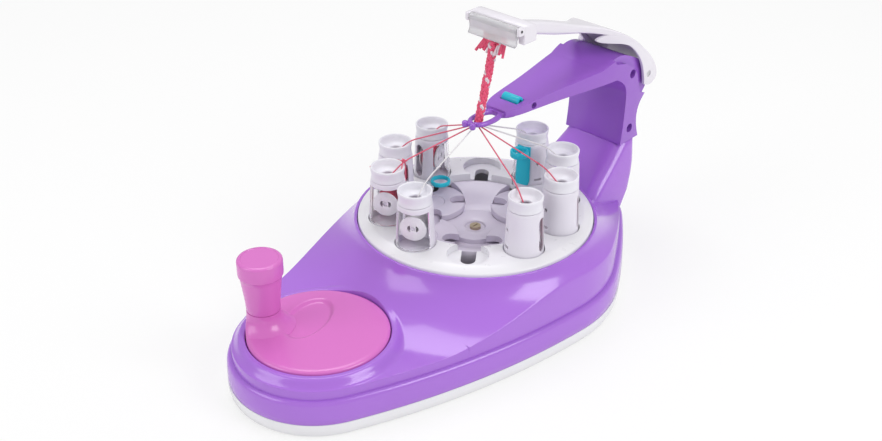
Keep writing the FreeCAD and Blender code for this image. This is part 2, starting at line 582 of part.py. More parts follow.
# Four notched rotors
NOTCHES = 4
HORN_NOTCH = 5.6
step = 360.0 / size("carousel_inner_teeth")
for i, angle in enumerate(rotor_angles):
    space = round(angle / step) * step
    phase = angle + (space - angle) * size("carousel_inner_teeth") / size("rotor_teeth")
    rotor = gear(size("rotor_teeth"), phase, size("gear_low"), gear_high)
    rotor = rotor.fuse(drum(7.0, gear_high - 0.5, size("rotor_top") - 4.5))
    disc = spun([(0, size("rotor_top") - 5.0), (size("rotor_radius"), size("rotor_top") - 5.0),
                 (size("rotor_radius"), size("rotor_top") - 0.8), (size("rotor_radius") - 0.8, size("rotor_top")),
                 (9.0, size("rotor_top") - 1.0), (0, size("rotor_top") - 1.0)], Vector(0, 0, 0))
    for k in range(NOTCHES):
        turn = angle + 45.0 + 360.0 * k / NOTCHES
        spot = polar(size("rotor_radius") - 3.5, turn)
        disc = disc.cut(drum(HORN_NOTCH, size("rotor_top") - 6.0, size("rotor_top") + 1.0, spot))
        spot = polar(size("rotor_radius") + 1.0, turn)
        disc = disc.cut(drum(HORN_NOTCH + 0.6, size("rotor_top") - 6.0, size("rotor_top") + 1.0, spot))
    rotor = rotor.fuse(disc).cut(drum(ROTOR_POST + POST_PLAY, 0.0, size("rotor_top") - 3.7))
    rotor.translate(polar(rotor_circle, angle))
    feature("rotor_%d" % (i + 1), rotor)


# Tubes along runs joined by tangent arcs
def rounded_path(points, share=0.45):
    """Wire of straight runs joined by tangent arcs as large as the runs allow."""
    edges = []
    start = points[0]
    radii = []
    for before, here, after in zip(points, points[1:], points[2:]):
        a = (here - before)
        b = (after - here)
        reach = share * min(a.Length, b.Length)
        a.normalize()
        b.normalize()
        p, q = here - a * reach, here + b * reach
        half = math.acos(max(-1.0, min(1.0, a.dot(b)))) / 2.0
        radius = reach / math.tan(half)
        radii.append(radius)
        bisector = b - a
        bisector.normalize()
        middle = here + bisector * (radius / math.cos(half) - radius)
        edges.append(Part.LineSegment(start, p).toShape())
        edges.append(Part.Arc(p, middle, q).toShape())
        start = q
    edges.append(Part.LineSegment(start, points[-1]).toShape())
    return Part.Wire(edges), radii


def sided(centre, direction, radius, sides):
    """Regular polygon across a path's start."""
    direction = Vector(direction)
    direction.normalize()
    aside = direction.cross(Vector(0, 0, 1))
    if aside.Length < 0.1:
        aside = direction.cross(Vector(1, 0, 0))
    aside.normalize()
    up = direction.cross(aside)
    ring = []
    for k in range(sides):
        turn = 2 * math.pi * k / sides
        ring.append(centre + aside * (radius * math.cos(turn)) + up * (radius * math.sin(turn)))
    return Part.makePolygon(ring + ring[:1])


def tube(path, direction, start, radius, sides):
    """Faceted tube along a wire."""
    return path.makePipeShell([sided(start, direction, radius, sides)], True, False)


def biarc(p0, t0, p1, t1):
    """Two arcs that leave p0 along t0 and reach p1 along t1."""
    v = p1 - p0
    both = t0 + t1
    k = 2 * (1 - t0.dot(t1))
    reach = (-v.dot(both) + math.sqrt(v.dot(both) ** 2 + k * v.dot(v))) / k
    joint = (p0 + t0 * reach + p1 - t1 * reach) * 0.5
    return [tangent_arc(p0, t0, joint), tangent_arc(p1, t1 * -1, joint, True)]


def tangent_arc(start, tangent, end, backwards=False):
    """Arc from start along a tangent to end."""
    chord = end - start
    along = Vector(chord)
    along.normalize()
    side = tangent - along * tangent.dot(along)
    angle = math.atan2(side.Length, tangent.dot(along))
    side.normalize()
    middle = start + chord * 0.5 + side * (chord.Length / 2 * math.tan(angle / 2))
    ends = (end, middle, start) if backwards else (start, middle, end)
    return Part.Arc(*ends).toShape()


QUARTERS = 4
TUBE_SIDES = 6
SAMPLES = 24


def winding_shape(spot, yaw):
    """One unbroken tube wound side by side round a spool's barrel."""
    wire = size("winding_wire")
    radius = size("barrel_radius") + wire / 2 + 0.1
    loops = int(size("winding_loops"))
    pitch = size("winding_pitch")
    axis = polar(1.0, yaw)
    across = polar(1.0, yaw + 90.0)
    up = Vector(0, 0, 1)

    def place(turns):
        angle = 2 * math.pi * turns
        rise = (turns - loops / 2.0) * pitch
        here = spot + axis * rise + across * (radius * math.cos(angle)) + up * (radius * math.sin(angle))
        way = axis * (pitch / (2 * math.pi)) + across * (-radius * math.sin(angle)) + up * (radius * math.cos(angle))
        way.normalize()
        return here, way

    edges = []
    for q in range(loops * QUARTERS):
        a, ta = place(q / QUARTERS)
        b, tb = place((q + 1) / QUARTERS)
        edges += biarc(a, ta, b, tb)
    first, way = place(0.0)
    last, away = place(loops)
    start = first - way * wire
    edges.insert(0, Part.LineSegment(start, first).toShape())
    edges.append(Part.LineSegment(last, last + away * wire).toShape())
    coil = tube(Part.Wire(edges), way, start, wire / 2, TUBE_SIDES)
    samples = [place(k / SAMPLES)[0] for k in range(loops * SAMPLES + 1)]
    gaps = [a.distanceToPoint(b) - wire for i, a in enumerate(samples) for b in samples[i + SAMPLES // 2:]]
    return coil, min(gaps)


# Pods: housing, window, cap, spool, winding and thread for each filled seat
PODS = [
    ("pod_1", 180.0, -150.0, "wound"), ("pod_2", 144.0, -152.0, "wound"), ("pod_3", 108.0, 10.0, "plain"),
    ("pod_4", 72.0, -70.0, "wound"), ("pod_5", 0.0, 128.0, "plain"), ("pod_6", -36.0, 20.0, "plain"),
    ("pod_7", -72.0, 54.0, "plain"), ("pod_8", -108.0, 39.0, "wound")]
POD_FLOOR = 1.6
SEAT_PLAY = 0.15
CAP_RADIUS = 12.1
CAP_WALL = 1.5
CAP_WAIST = 0.7
CAP_FLOOR = 1.4
CAP_HOLE = 4.4
CAP_SPIGOT = 1.6
WINDOW_HALF_ANGLE = 62.0
SLOT_AWAY = 115.0
SLOT_HALF = 3.6
FLANGE = 1.0
pod_low = size("seat_floor") + SEAT_PLAY
pod_neck = size("pod_neck")
caps = []
windows = []
threads_pink = []
threads_white = []
winding_gaps = []
EYE_THREAD_RADIUS = 2.6
thread_top = size("eye_height") - size("eye_bar") + 0.4


def wedge(yaw, half_angle, low, high, reach=40.0):
    """Prism over a sector of directions."""
    fan = [Vector(0, 0, low)]
    for turn in (-half_angle, -half_angle / 3, half_angle / 3, half_angle):
        fan.append(polar(reach, yaw + turn, low))
    return Part.Face(Part.makePolygon(fan + fan[:1])).extrude(Vector(0, 0, high - low))


def pod_cone(grow, low, high):
    """The pod's tapered outside, larger or smaller by an amount, between two heights."""
    slope = (size("pod_neck_radius") - size("pod_base_radius")) / (pod_neck - pod_low)
    ends = [size("pod_base_radius") + grow + slope * (z - pod_low) for z in (low, high)]
    return Part.makeCone(ends[0], ends[1], high - low, Vector(0, 0, low), Vector(0, 0, 1))


for node, seat_angle, yaw, kind in PODS:
    seat = polar(size("seat_circle"), seat_angle + size("seat_turn"))
    housing = pod_cone(0.0, pod_low, pod_neck).cut(pod_cone(-size("pod_wall"), pod_low + POD_FLOOR, pod_neck + 1.0))
    housing = housing.cut(drum(size("pod_neck_radius") - size("pod_wall") - 0.2, pod_neck - 1.0, pod_neck + 1.0))
    mouth_low = pod_low + 5.0
    mouth_high = pod_neck - 3.5
    opening_tool = wedge(yaw, WINDOW_HALF_ANGLE, mouth_low, mouth_high)
    window_ring = pod_cone(-0.05, mouth_low, mouth_high).cut(pod_cone(-size("pod_wall") + 0.05, mouth_low, mouth_high))
    window = window_ring.common(wedge(yaw, WINDOW_HALF_ANGLE - 0.4, mouth_low + 0.1, mouth_high - 0.1))
    housing = housing.cut(opening_tool)
    slot_way = polar(1.0, yaw - SLOT_AWAY)
    slot = Part.makeCylinder(SLOT_HALF, 20.0, Vector(0, 0, mouth_low + SLOT_HALF + 1.0), slot_way)
    slot = slot.fuse(Part.makeCylinder(SLOT_HALF, 20.0, Vector(0, 0, mouth_high - SLOT_HALF - 1.0), slot_way))
    block = Part.makeBox(20.0, 2 * SLOT_HALF, mouth_high - mouth_low - 2 * SLOT_HALF - 2.0,
                         Vector(0, -SLOT_HALF, mouth_low + SLOT_HALF + 1.0))
    block.rotate(Vector(0, 0, 0), Vector(0, 0, 1), yaw - SLOT_AWAY)
    housing = housing.cut(slot.fuse(block))
    pip = Part.makeCylinder(1.4, 20.0, Vector(0, 0, size("spool_height") + 3.0), polar(1.0, yaw + SLOT_AWAY))
    housing = housing.cut(pip)
    bar = Part.makeBox(20.0, 6.0, 1.8, Vector(0, -3.0, pod_low + 8.0))
    bar.rotate(Vector(0, 0, 0), Vector(0, 0, 1), yaw + SLOT_AWAY)
    housing = housing.cut(bar)
    back = polar(-1.0, yaw)
    spindle_length = size("spool_half") + size("pod_base_radius") - 1.4
    spindle = Part.makeCylinder(size("spindle_radius"), spindle_length,
                                polar(size("spool_half") - 0.6, yaw, size("spool_height")), back)
    collar = Part.makeCylinder(3.4, 4.4, polar(-size("spool_half") - 0.4, yaw, size("spool_height")), back)
    spindle = spindle.fuse(collar).common(pod_cone(-0.3, pod_low, pod_neck))
    housing = housing.fuse(spindle)
    peg = drum(size("notch_radius") - 0.6, size("carousel_under") + 0.2, pod_low + 0.5)
    housing = housing.fuse(peg)
    housing.translate(seat)
    feature(node + "_housing", housing)
    window.translate(seat)
    windows.append(window)
    cap = spun([(CAP_HOLE, pod_neck + 2.0), (CAP_RADIUS, pod_neck + 0.1), (CAP_RADIUS - CAP_WAIST, pod_neck + 2.4),
                (CAP_RADIUS, size("pod_top") - 1.6), (CAP_RADIUS, size("pod_top") - 0.5),
                (CAP_RADIUS - 0.5, size("pod_top")), (CAP_RADIUS - CAP_WALL, size("pod_top")),
                (CAP_RADIUS - CAP_WALL - 0.6, pod_neck + 2.0 + CAP_FLOOR + 1.0),
                (CAP_HOLE, pod_neck + 2.0 + CAP_FLOOR)], seat)
    caps.append(cap)
    spot = seat + Vector(0, 0, size("spool_height"))
    axis = polar(1.0, yaw)
    half = size("spool_half")
    spool = Part.makeCylinder(size("spool_radius"), FLANGE, spot - axis * half, axis)
    spool = spool.fuse(Part.makeCylinder(size("spool_radius"), FLANGE, spot + axis * (half - FLANGE), axis))
    spool = spool.fuse(Part.makeCylinder(size("barrel_radius"), 2 * half, spot - axis * half, axis))
    spool = spool.cut(Part.makeCylinder(size("spindle_radius") + size("spindle_play"), 60.0, spot - axis * 30.0, axis))
    for side in (90.0, -90.0):
        eye = spot + polar(3.2, yaw + side)
        spool = spool.cut(Part.makeCylinder(1.1, 60.0, eye - axis * 30.0, axis))
    feature(node + "_spool", spool)
    if kind == "wound":
        coil, gap = winding_shape(spot, yaw)
        winding_gaps.append(gap)
    else:
        span = size("winding_loops") * size("winding_pitch") / 2 + 0.5
        coil = Part.makeCylinder(size("barrel_radius") + size("winding_wire") + 0.1, 2 * span, spot - axis * span, axis)
        coil = coil.cut(Part.makeCylinder(size("barrel_radius") + 0.02, 60.0, spot - axis * 30.0, axis))
    feature(node + "_winding", coil)
    aim = seat_angle + size("seat_turn")
    hole = seat + polar(-CAP_HOLE + 1.6, aim, pod_neck + 2.6)
    brim = seat + polar(-CAP_RADIUS + 0.4, aim, size("pod_top") + 2.4)
    top = polar(EYE_THREAD_RADIUS, aim, thread_top)
    path, bends = rounded_path([hole, brim, top], 0.4)
    strand = tube(path, brim - hole, hole, size("thread_size") / 2, TUBE_SIDES)
    (threads_white if node in ("pod_1", "pod_5", "pod_6") else threads_pink).append(strand)
    print(node, "thread bend radius", round(bends[0], 1))
feature("pod_caps", Part.makeCompound(caps))
feature("pod_windows", Part.makeCompound(windows))
feature("pink_threads", Part.makeCompound(threads_pink))
feature("white_threads", Part.makeCompound(threads_white))
print("least gap between wound turns", round(min(winding_gaps), 2))

# Turquoise tension loops on the two rear pods
LOOP_RADIUS = 5.6
LOOP_BAR = 1.7


def tension_loop(seat_angle, way, low, height, strap):
    """Loop on a pod's side, with a strap below it where the strap is up."""
    seat = polar(size("seat_circle"), seat_angle + size("seat_turn"))
    reach = size("pod_base_radius") + LOOP_RADIUS - 1.2
    ring = drum(LOOP_RADIUS, low, low + height).cut(drum(LOOP_RADIUS - LOOP_BAR, low - 1, low + height + 1))
    ring.translate(polar(reach, way))
    shape = ring.cut(pod_cone(0.1, pod_low, pod_neck))
    if strap:
        band = pod_cone(1.5, size("carousel_top") + 0.3, low + height)
        band = band.cut(pod_cone(0.1, size("carousel_top"), low + height + 1))
        shape = shape.fuse(band.common(wedge(way, 24.0, 0.0, 120.0)))
    shape.translate(seat)
    return shape


feature("loop_left", tension_loop(72.0, -118.0, size("carousel_top") + 0.3, 3.4, False))
feature("loop_right", tension_loop(0.0, -168.0, 93.0, 5.0, True))


# Arm that reaches over the platform: two mouldings that meet on the middle plane
def outline(points, y):
    """Closed profile in the middle plane from (x, z) points; a tuple of three is a curve's knot."""
    edges = []
    run = []
    closed = points + points[:1]
    for before, here in zip(closed, closed[1:]):
        a = Vector(before[0], y, before[1])
        b = Vector(here[0], y, here[1])
        if len(before) == 3 or len(here) == 3:
            run = run or [a]
            run.append(b)
            if len(here) == 3:
                continue
            curve = Part.BSplineCurve()
            curve.interpolate(run)
            edges.append(curve.toShape())
            run = []
        else:
            edges.append(Part.LineSegment(a, b).toShape())
    return Part.Wire(edges)


def slab(wire, half):
    """A middle-plane profile thickened to both sides."""
    face = Part.Face(wire)
    face.translate(Vector(0, -half, 0))
    return face.extrude(Vector(0, 2 * half, 0))


def plan_solid(points, grow, low, high):
    """Prism on a symmetric plan given by (x, half width) points joined by a smooth curve."""
    side = [Vector(x, half + grow, low) for x, half in points]
    curve = Part.BSplineCurve()
    curve.interpolate(side)
    upper = curve.toShape()
    lower = upper.mirror(Vector(0, 0, 0), Vector(0, 1, 0))
    first = Part.LineSegment(side[0], Vector(side[0].x, -side[0].y, low)).toShape()
    last = Part.LineSegment(side[-1], Vector(side[-1].x, -side[-1].y, low)).toShape()
    wire = Part.Wire(Part.__sortEdges__([upper, last, lower, first]))
    return Part.Face(wire).extrude(Vector(0, 0, high - low))


seam = size("arm_seam")
under = size("arm_under")
tip = size("arm_half_tip")
elbow = size("arm_half_elbow")
ARM_X = 11.0
ARM_SIDE = [(ARM_X, under + 1.5), (128.0, under), (139.0, 127.0, 0), (141.0, 112.0, 0), (140.0, 95.0, 0),
            (138.0, seam), (161.5, seam), (157.6, 90.0, 0), (156.4, 100.0), (171.5, 116.5), (173.0, 127.0, 0),
            (165.0, 137.5, 0), (150.0, 146.0, 0), (135.0, 148.5, 0), (120.0, 148.3), (45.0, 144.0), (ARM_X, 141.0)]
ARM_IN = [(ARM_X + 2.5, under + 3.8), (129.0, under + 2.3), (141.4, 128.0, 0), (143.4, 112.0, 0), (142.4, 95.0, 0),
          (140.3, seam - 1.0), (159.0, seam - 1.0), (155.3, 90.0, 0), (153.8, 101.0), (168.4, 117.4), (170.2, 126.0, 0),
          (163.6, 135.3, 0), (149.4, 143.6, 0), (135.0, 146.2, 0), (120.0, 146.0), (45.0, 141.7), (ARM_X + 2.5, 139.2)]
ARM_PLAN = [(ARM_X - 1.0, 8.0), (18.0, 11.8), (38.0, tip), (66.0, 17.6), (96.0, 22.4), (124.0, elbow - 1.4),
            (150.0, elbow - 1.0), (180.0, elbow - 2.0)]
ARM_WALL = 2.2
arm_outer = slab(outline(ARM_SIDE, 0.0), 32.0).common(plan_solid(ARM_PLAN, 0.0, 60.0, 160.0))
arm_inner = slab(outline(ARM_IN, 0.0), 32.0).common(plan_solid(ARM_PLAN, -ARM_WALL, 60.0, 160.0))
HOOD_INSET = 4.0
HOOD_REACH = 38.0
for side in (1.0, -1.0):
    ledge = Part.makeCylinder(HOOD_REACH, 6.0, Vector(size("pivot_x"), side * (elbow - HOOD_INSET), size("pivot_z")),
                              Vector(0, side, 0))
    arm_outer = arm_outer.cut(ledge)
arm_inner = arm_inner.cut(Part.makeBox(80.0, 2 * HOOD_INSET + 3.0, 90.0,
                                       Vector(126.0, elbow - HOOD_INSET - ARM_WALL, 90.0)))
arm_inner = arm_inner.cut(Part.makeBox(80.0, 2 * HOOD_INSET + 3.0, 90.0,
                                       Vector(126.0, -elbow - HOOD_INSET - 3.0 + ARM_WALL, 90.0)))
arm = arm_outer.cut(arm_inner)
ROLLER = (37.0, 143.2, 3.6)
ROLLER_SPAN = (-8.0, 7.0)
roller_length = ROLLER_SPAN[1] - ROLLER_SPAN[0]
pocket = Part.makeBox(8.4, roller_length + 1.0, 12.0, Vector(ROLLER[0] - 4.2, ROLLER_SPAN[0] - 0.5, under - 1.0))
arm = arm.cut(pocket)
cradle = Part.makeBox(15.0, roller_length + 4.0, 8.0, Vector(ROLLER[0] - 7.5, ROLLER_SPAN[0] - 2.0, under + 0.6))
cradle = cradle.common(arm_outer).cut(pocket)
arm = arm.fuse(cradle)
ROLLER_PIN = 1.6
roller_pin = Part.makeCylinder(ROLLER_PIN, roller_length + 2.0, Vector(ROLLER[0], ROLLER_SPAN[0] - 1.0, ROLLER[1]),
                               Vector(0, 1, 0))
arm = arm.fuse(roller_pin)
EYE_SLOT = Part.makeBox(16.0, 14.4, 3.6, Vector(ARM_X - 1.0, -7.2, size("eye_height") - 1.8))
EYE_SEAT = Part.makeBox(5.4, 2 * size("eye_half_width") + 0.4, 4.0,
                        Vector(ARM_X - 1.0, -size("eye_half_width") - 0.2, size("eye_height") - 2.0))
arm = arm.cut(EYE_SLOT).cut(EYE_SEAT)
pivot = Vector(size("pivot_x"), 0, size("pivot_z"))
ARM_SCREWS = [(44.0, 140.4), (147.7, 135.0), (149.0, 89.0)]
for x, z in ARM_SCREWS:
    boss = Part.makeCylinder(4.6, 60.0, Vector(x, -30.0, z), Vector(0, 1, 0)).common(arm_outer)
    boss = boss.cut(Part.makeBox(12.0, 60.0, 12.0, Vector(x - 6.0, 12.0, z - 6.0))).cut(pocket)
    arm = arm.fuse(boss)
pivot_boss = Part.makeCylinder(6.0, 60.0, pivot - Vector(0, 30.0, 0), Vector(0, 1, 0)).common(arm_outer)
arm = arm.fuse(pivot_boss)
arm = arm.cut(Part.makeCylinder(size("pivot_radius") + 0.06, 80.0, pivot - Vector(0, 40.0, 0), Vector(0, 1, 0)))
arm_screws = []
for x, z in ARM_SCREWS:
    start = 10.0 if x < 100.0 else 17.0
    arm = arm.cut(Part.makeCylinder(3.6, 40.0, Vector(x, -start - 40.0, z), Vector(0, 1, 0)))
    arm = arm.cut(Part.makeCylinder(1.5, start + 9.0, Vector(x, -start - 0.5, z), Vector(0, 1, 0)))
    arm_screws.append(screw(Vector(x, -start - 2.0, z), Vector(0, 1, 0), start + 8.0, 3.2, 1.45))
FAR = Part.makeBox(400.0, 60.0, 400.0, Vector(-100.0, 0.0, -100.0))
NEAR = Part.makeBox(400.0, 60.0, 400.0, Vector(-100.0, -60.0, -100.0))
feature("arm_near_shell", arm.common(NEAR))
feature("arm_far_shell", arm.common(FAR))
feature("arm_screws", Part.makeCompound(arm_screws))

# Roller the thread runs over, on the arm's top
roller = Part.makeCylinder(ROLLER[2], roller_length, Vector(ROLLER[0], ROLLER_SPAN[0], ROLLER[1]), Vector(0, 1, 0))
roller = roller.cut(Part.makeCylinder(1.66, 60.0, Vector(ROLLER[0], -30.0, ROLLER[1]), Vector(0, 1, 0)))
feature("thread_roller", roller)

# Thread eye: a loop with two prongs, held by its tail in the arm
eye_z = size("eye_height")
eye_x = size("eye_centre")
bar = size("eye_bar") / 2


def racetrack(half_x, half_y, low, high):
    """Rounded plate in plan about the eye's centre."""
    long_way = half_x - half_y
    body = Part.makeBox(2 * long_way, 2 * half_y, high - low, Vector(eye_x - long_way, -half_y, low))
    for end in (-long_way, long_way):
        body = body.fuse(drum(half_y, low, high, Vector(eye_x + end, 0, 0)))
    return body


eye = racetrack(size("eye_half_length") + 1.6, size("eye_half_width"), eye_z - bar, eye_z + bar)
eye = eye.cut(racetrack(size("eye_half_length") - 1.8, size("eye_half_width") - 3.4, eye_z - 5.0, eye_z + 5.0))
for side in (-1.0, 1.0):
    prong = drum(2.2, eye_z - bar, eye_z + bar + 1.2, Vector(eye_x - size("eye_half_length") - 3.4, side * 3.6, 0))
    link = Part.makeBox(6.0, 3.4, 2 * bar, Vector(eye_x - size("eye_half_length") - 3.4, side * 3.6 - 1.7, eye_z - bar))
    eye = eye.fuse(prong).fuse(link)
eye = eye.cut(Part.makeBox(9.0, 1.6, 12.0, Vector(eye_x - size("eye_half_length") - 7.0, -0.8, eye_z - 6.0)))
tail = Part.makeBox(12.0, 14.0, 3.2, Vector(eye_x + 8.0, -7.0, eye_z - 1.6))
tail = tail.cut(racetrack(size("eye_half_length") - 1.8, size("eye_half_width") - 3.4, eye_z - 5.0, eye_z + 5.0))
feature("thread_eye", eye.fuse(tail))

# Take-up arm: hood over the elbow, neck and clip holder
HOOD_OUT = [(96.0, 182.0), (107.0, 181.2, 0), (124.0, 176.0, 0), (140.0, 168.0, 0), (157.0, 156.0, 0), (170.0, 143.0, 0),
            (178.0, 130.5, 0), (179.6, 124.0), (177.2, 123.0), (175.6, 129.4, 0), (167.4, 140.8, 0), (153.6, 151.6, 0),
            (137.6, 163.0, 0), (121.0, 170.8, 0), (104.0, 175.4, 0), (94.0, 177.6)]
half = size("hood_half")
HOOD_PLAN = [(92.0, 5.8), (104.0, 7.5), (118.0, 14.0), (132.0, 22.5), (146.0, half - 0.4), (158.0, half),
             (190.0, half)]
hood_plan = plan_solid(HOOD_PLAN, 0.0, 100.0, 200.0)
hood = slab(outline(HOOD_OUT, 0.0), 40.0).common(hood_plan)
CHEEK = [(152.0, 158.0), (163.0, 150.0, 0), (173.0, 138.5, 0), (179.6, 124.0), (171.0, 119.0, 0), (163.0, 121.0),
         (158.0, 131.0, 0), (151.0, 141.5, 0), (144.5, 150.0, 0), (140.0, 155.0, 0), (128.0, 158.4, 0), (113.0, 162.0),
         (120.0, 170.6), (136.0, 167.0, 0)]
cheeks = slab(outline(CHEEK, 0.0), 40.0).common(hood_plan)
cheeks = cheeks.cut(plan_solid(HOOD_PLAN, -2.2, 90.0, 210.0))
hood = hood.fuse(cheeks)
NECK = [(24.0, 196.0), (36.0, 191.0, 0), (60.0, 184.6, 0), (84.0, 177.2), (100.0, 174.0), (108.0, 181.2),
        (84.0, 190.0, 0), (60.0, 197.4, 0), (40.0, 203.0, 0), (26.0, 207.0)]
neck_bar = slab(outline(NECK, 0.0), 6.0)
clip_z = size("clip_z")
clip_x = size("clip_x")
clip_half = size("clip_half")
holder = Part.makeBox(13.0, 2 * clip_half, 13.0, Vector(clip_x + 1.0, -clip_half, clip_z))
holder = holder.cut(Part.makeBox(8.0, 2 * clip_half - 10.0, 7.5, Vector(clip_x - 0.5, -clip_half + 5.0, clip_z - 1.0)))
take_up = hood.fuse(neck_bar).fuse(holder)
disc_spot = Vector(150.0, 18.0, 152.0)
take_up = take_up.fuse(Part.makeCylinder(11.0, 5.0, Vector(164.0, half - 1.0, 143.0), Vector(0, 1, 0)).cut(
    Part.makeCylinder(7.6, 6.0, Vector(164.0, half + 2.0, 143.0), Vector(0, 1, 0))))
take_up = take_up.cut(Part.makeCylinder(size("pivot_radius") + 0.06, 80.0, pivot - Vector(0, 40, 0), Vector(0, 1, 0)))
jaw_axis = Vector(clip_x - 2.0, 0, clip_z + 10.5)
for side in (-1.0, 1.0):
    ear = Part.makeBox(6.0, 3.0, 6.0, Vector(clip_x - 4.5, side * (clip_half - 1.5) - 1.5, clip_z + 7.0))
    take_up = take_up.fuse(ear)
take_up = take_up.cut(Part.makeCylinder(1.06, 80.0, jaw_axis - Vector(0, 40, 0), Vector(0, 1, 0)))
feature("take_up_arm", take_up)

# Clear jaw of the clip, with its pin
jaw_half = clip_half - 3.4
JAW_DROP = 1.5
jaw = Part.makeBox(3.0, 2 * jaw_half, 12.0, Vector(clip_x - 4.0, -jaw_half, clip_z - JAW_DROP))
jaw = jaw.fuse(Part.makeCylinder(2.6, 2 * jaw_half, jaw_axis - Vector(0, jaw_half, 0), Vector(0, 1, 0)))
jaw = jaw.cut(Part.makeCylinder(1.06, 80.0, jaw_axis - Vector(0, 40, 0), Vector(0, 1, 0)))
feature("clip_jaw", jaw)
feature("jaw_pin", Part.makeCylinder(1.0, 2 * clip_half, jaw_axis - Vector(0, clip_half, 0), Vector(0, 1, 0)))
feature("pivot_pin", Part.makeCylinder(size("pivot_radius"), 2 * half - 1.0, pivot - Vector(0, half - 0.5, 0),
                                       Vector(0, 1, 0)))

# Finished braid from the eye up to the clip
braid_low = Vector(1.5, 0, eye_z - bar + 1.0)
braid_high = Vector(clip_x - 0.4, 0, clip_z - JAW_DROP - 0.4)
climb = braid_high - braid_low
braid = Part.makeCylinder(size("braid_size") / 2, climb.Length + 4.0, braid_low - climb * (2.0 / climb.Length), climb)
braid = braid.common(Part.makeBox(60, 60, braid_high.z - braid_low.z, Vector(-20, -30, braid_low.z)))
feature("braid", braid)


# Every object and shape is sound before anything is written
doc.recompute()
for item in doc.Objects:
    if "Invalid" in item.State or "Error" in item.State:
        raise ValueError("%s is in state %s" % (item.Label, item.State))
for item in kept:
    if item.Shape.isNull() or not item.Shape.isValid():
        raise ValueError("%s has no valid shape" % item.Label)
os.makedirs("parts", exist_ok=True)
for item in kept:
    item.Shape.exportStep(os.path.join("parts", item.Label + ".step"))
print("sub-parts written", len(kept))
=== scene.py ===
"""Looks of a hand-cranked toy braiding machine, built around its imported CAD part.

Everything is in the part's own frame: the table is z = 0, the platform turns about
the Z axis and the crank stands on the -X side. Sizes below are in millimetres, and
each mesh is made in metres where it is built.
"""
import math

import bmesh
import bpy
import numpy as np
from mathutils import Euler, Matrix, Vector


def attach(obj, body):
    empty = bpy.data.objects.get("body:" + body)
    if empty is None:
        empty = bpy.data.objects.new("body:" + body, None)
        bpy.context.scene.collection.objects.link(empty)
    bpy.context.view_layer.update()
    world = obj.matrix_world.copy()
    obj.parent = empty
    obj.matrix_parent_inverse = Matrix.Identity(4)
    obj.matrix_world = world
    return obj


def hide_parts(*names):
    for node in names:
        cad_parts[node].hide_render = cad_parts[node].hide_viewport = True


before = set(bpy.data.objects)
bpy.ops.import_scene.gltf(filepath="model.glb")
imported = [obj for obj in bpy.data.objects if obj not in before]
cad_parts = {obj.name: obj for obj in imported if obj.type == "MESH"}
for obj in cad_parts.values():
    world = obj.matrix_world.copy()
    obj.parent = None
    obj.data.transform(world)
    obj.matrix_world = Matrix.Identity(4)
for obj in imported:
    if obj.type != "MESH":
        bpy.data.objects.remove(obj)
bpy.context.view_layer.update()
MM = 0.001

# Camera and studio: the photograph looks down on the crank's end, past the platform
# to the arm. The table and the backdrop are one plain pale sheet, lit by soft panels.
CAMERA_SPOT = (-0.5905, -0.5203, 0.5196)
CAMERA_TURN = 43.2
CAMERA_DIP = 30.37
CAMERA_LENS = 51.2


def linked(name, data):
    """New object in the scene, holding a mesh, a lamp or a camera."""
    item = bpy.data.objects.new(name, data)
    bpy.context.scene.collection.objects.link(item)
    return item


eye = bpy.data.cameras.new("camera")
eye.lens = CAMERA_LENS
eye.clip_start = 0.02
camera = linked("camera", eye)
camera.location = CAMERA_SPOT
camera.rotation_euler = Euler((math.radians(90 - CAMERA_DIP), 0, math.radians(CAMERA_TURN - 90)))
bpy.context.scene.camera = camera
bpy.context.scene.view_settings.view_transform = "Standard"


def soft_panel(name, spot, aim, width, power):
    """Square lamp at a spot, turned to face a point."""
    lamp = bpy.data.lights.new(name, "AREA")
    lamp.size = width
    lamp.energy = power
    holder = linked(name, lamp)
    holder.location = spot
    holder.rotation_euler = (Vector(aim) - Vector(spot)).to_track_quat("-Z", "Y").to_euler()


def feed(tree, node, sockets):
    """Fills a node's inputs: constants as they are, and an output, or another node's first one, as a link."""
    for name, value in sockets.items():
        if isinstance(value, bpy.types.Node):
            value = value.outputs[0]
        if isinstance(value, bpy.types.NodeSocket):
            tree.links.new(value, node.inputs[name])
        else:
            node.inputs[name].default_value = value


def wired(tree, kind, sockets, operation=None):
    """New shader node with its inputs filled."""
    node = tree.nodes.new("ShaderNode" + kind)
    if operation:
        node.operation = operation
    feed(tree, node, sockets)
    return node


def new_finish(name, sockets):
    """New material with its tree and its main shader, the shader's inputs filled."""
    finish = bpy.data.materials.new(name)
    finish.use_nodes = True
    shader = finish.node_tree.nodes["Principled BSDF"]
    feed(finish.node_tree, shader, sockets)
    return finish, finish.node_tree, shader


MIDDLE = (0.0, 0.0, 0.08)
soft_panel("key_panel", (0.25, -1.3, 1.15), MIDDLE, 0.9, 12.0)
soft_panel("left_panel", (-1.3, 0.5, 0.9), MIDDLE, 0.9, 6.5)
soft_panel("top_panel", (0.3, 0.5, 1.5), MIDDLE, 0.8, 7.0)

ROOM_LIGHT = 0.52
world = bpy.data.worlds.new("studio")
bpy.context.scene.world = world
world.use_nodes = True
air = world.node_tree
room = air.nodes["Background"]
feed(air, room, {"Color": (1, 1, 1, 1), "Strength": ROOM_LIGHT})
backdrop = wired(air, "Background", {"Strength": 1.0})
seen = wired(air, "LightPath", {}).outputs["Is Camera Ray"]
choice = wired(air, "MixShader", {"Fac": seen, 1: room, 2: backdrop})
feed(air, air.nodes["World Output"], {"Surface": choice})

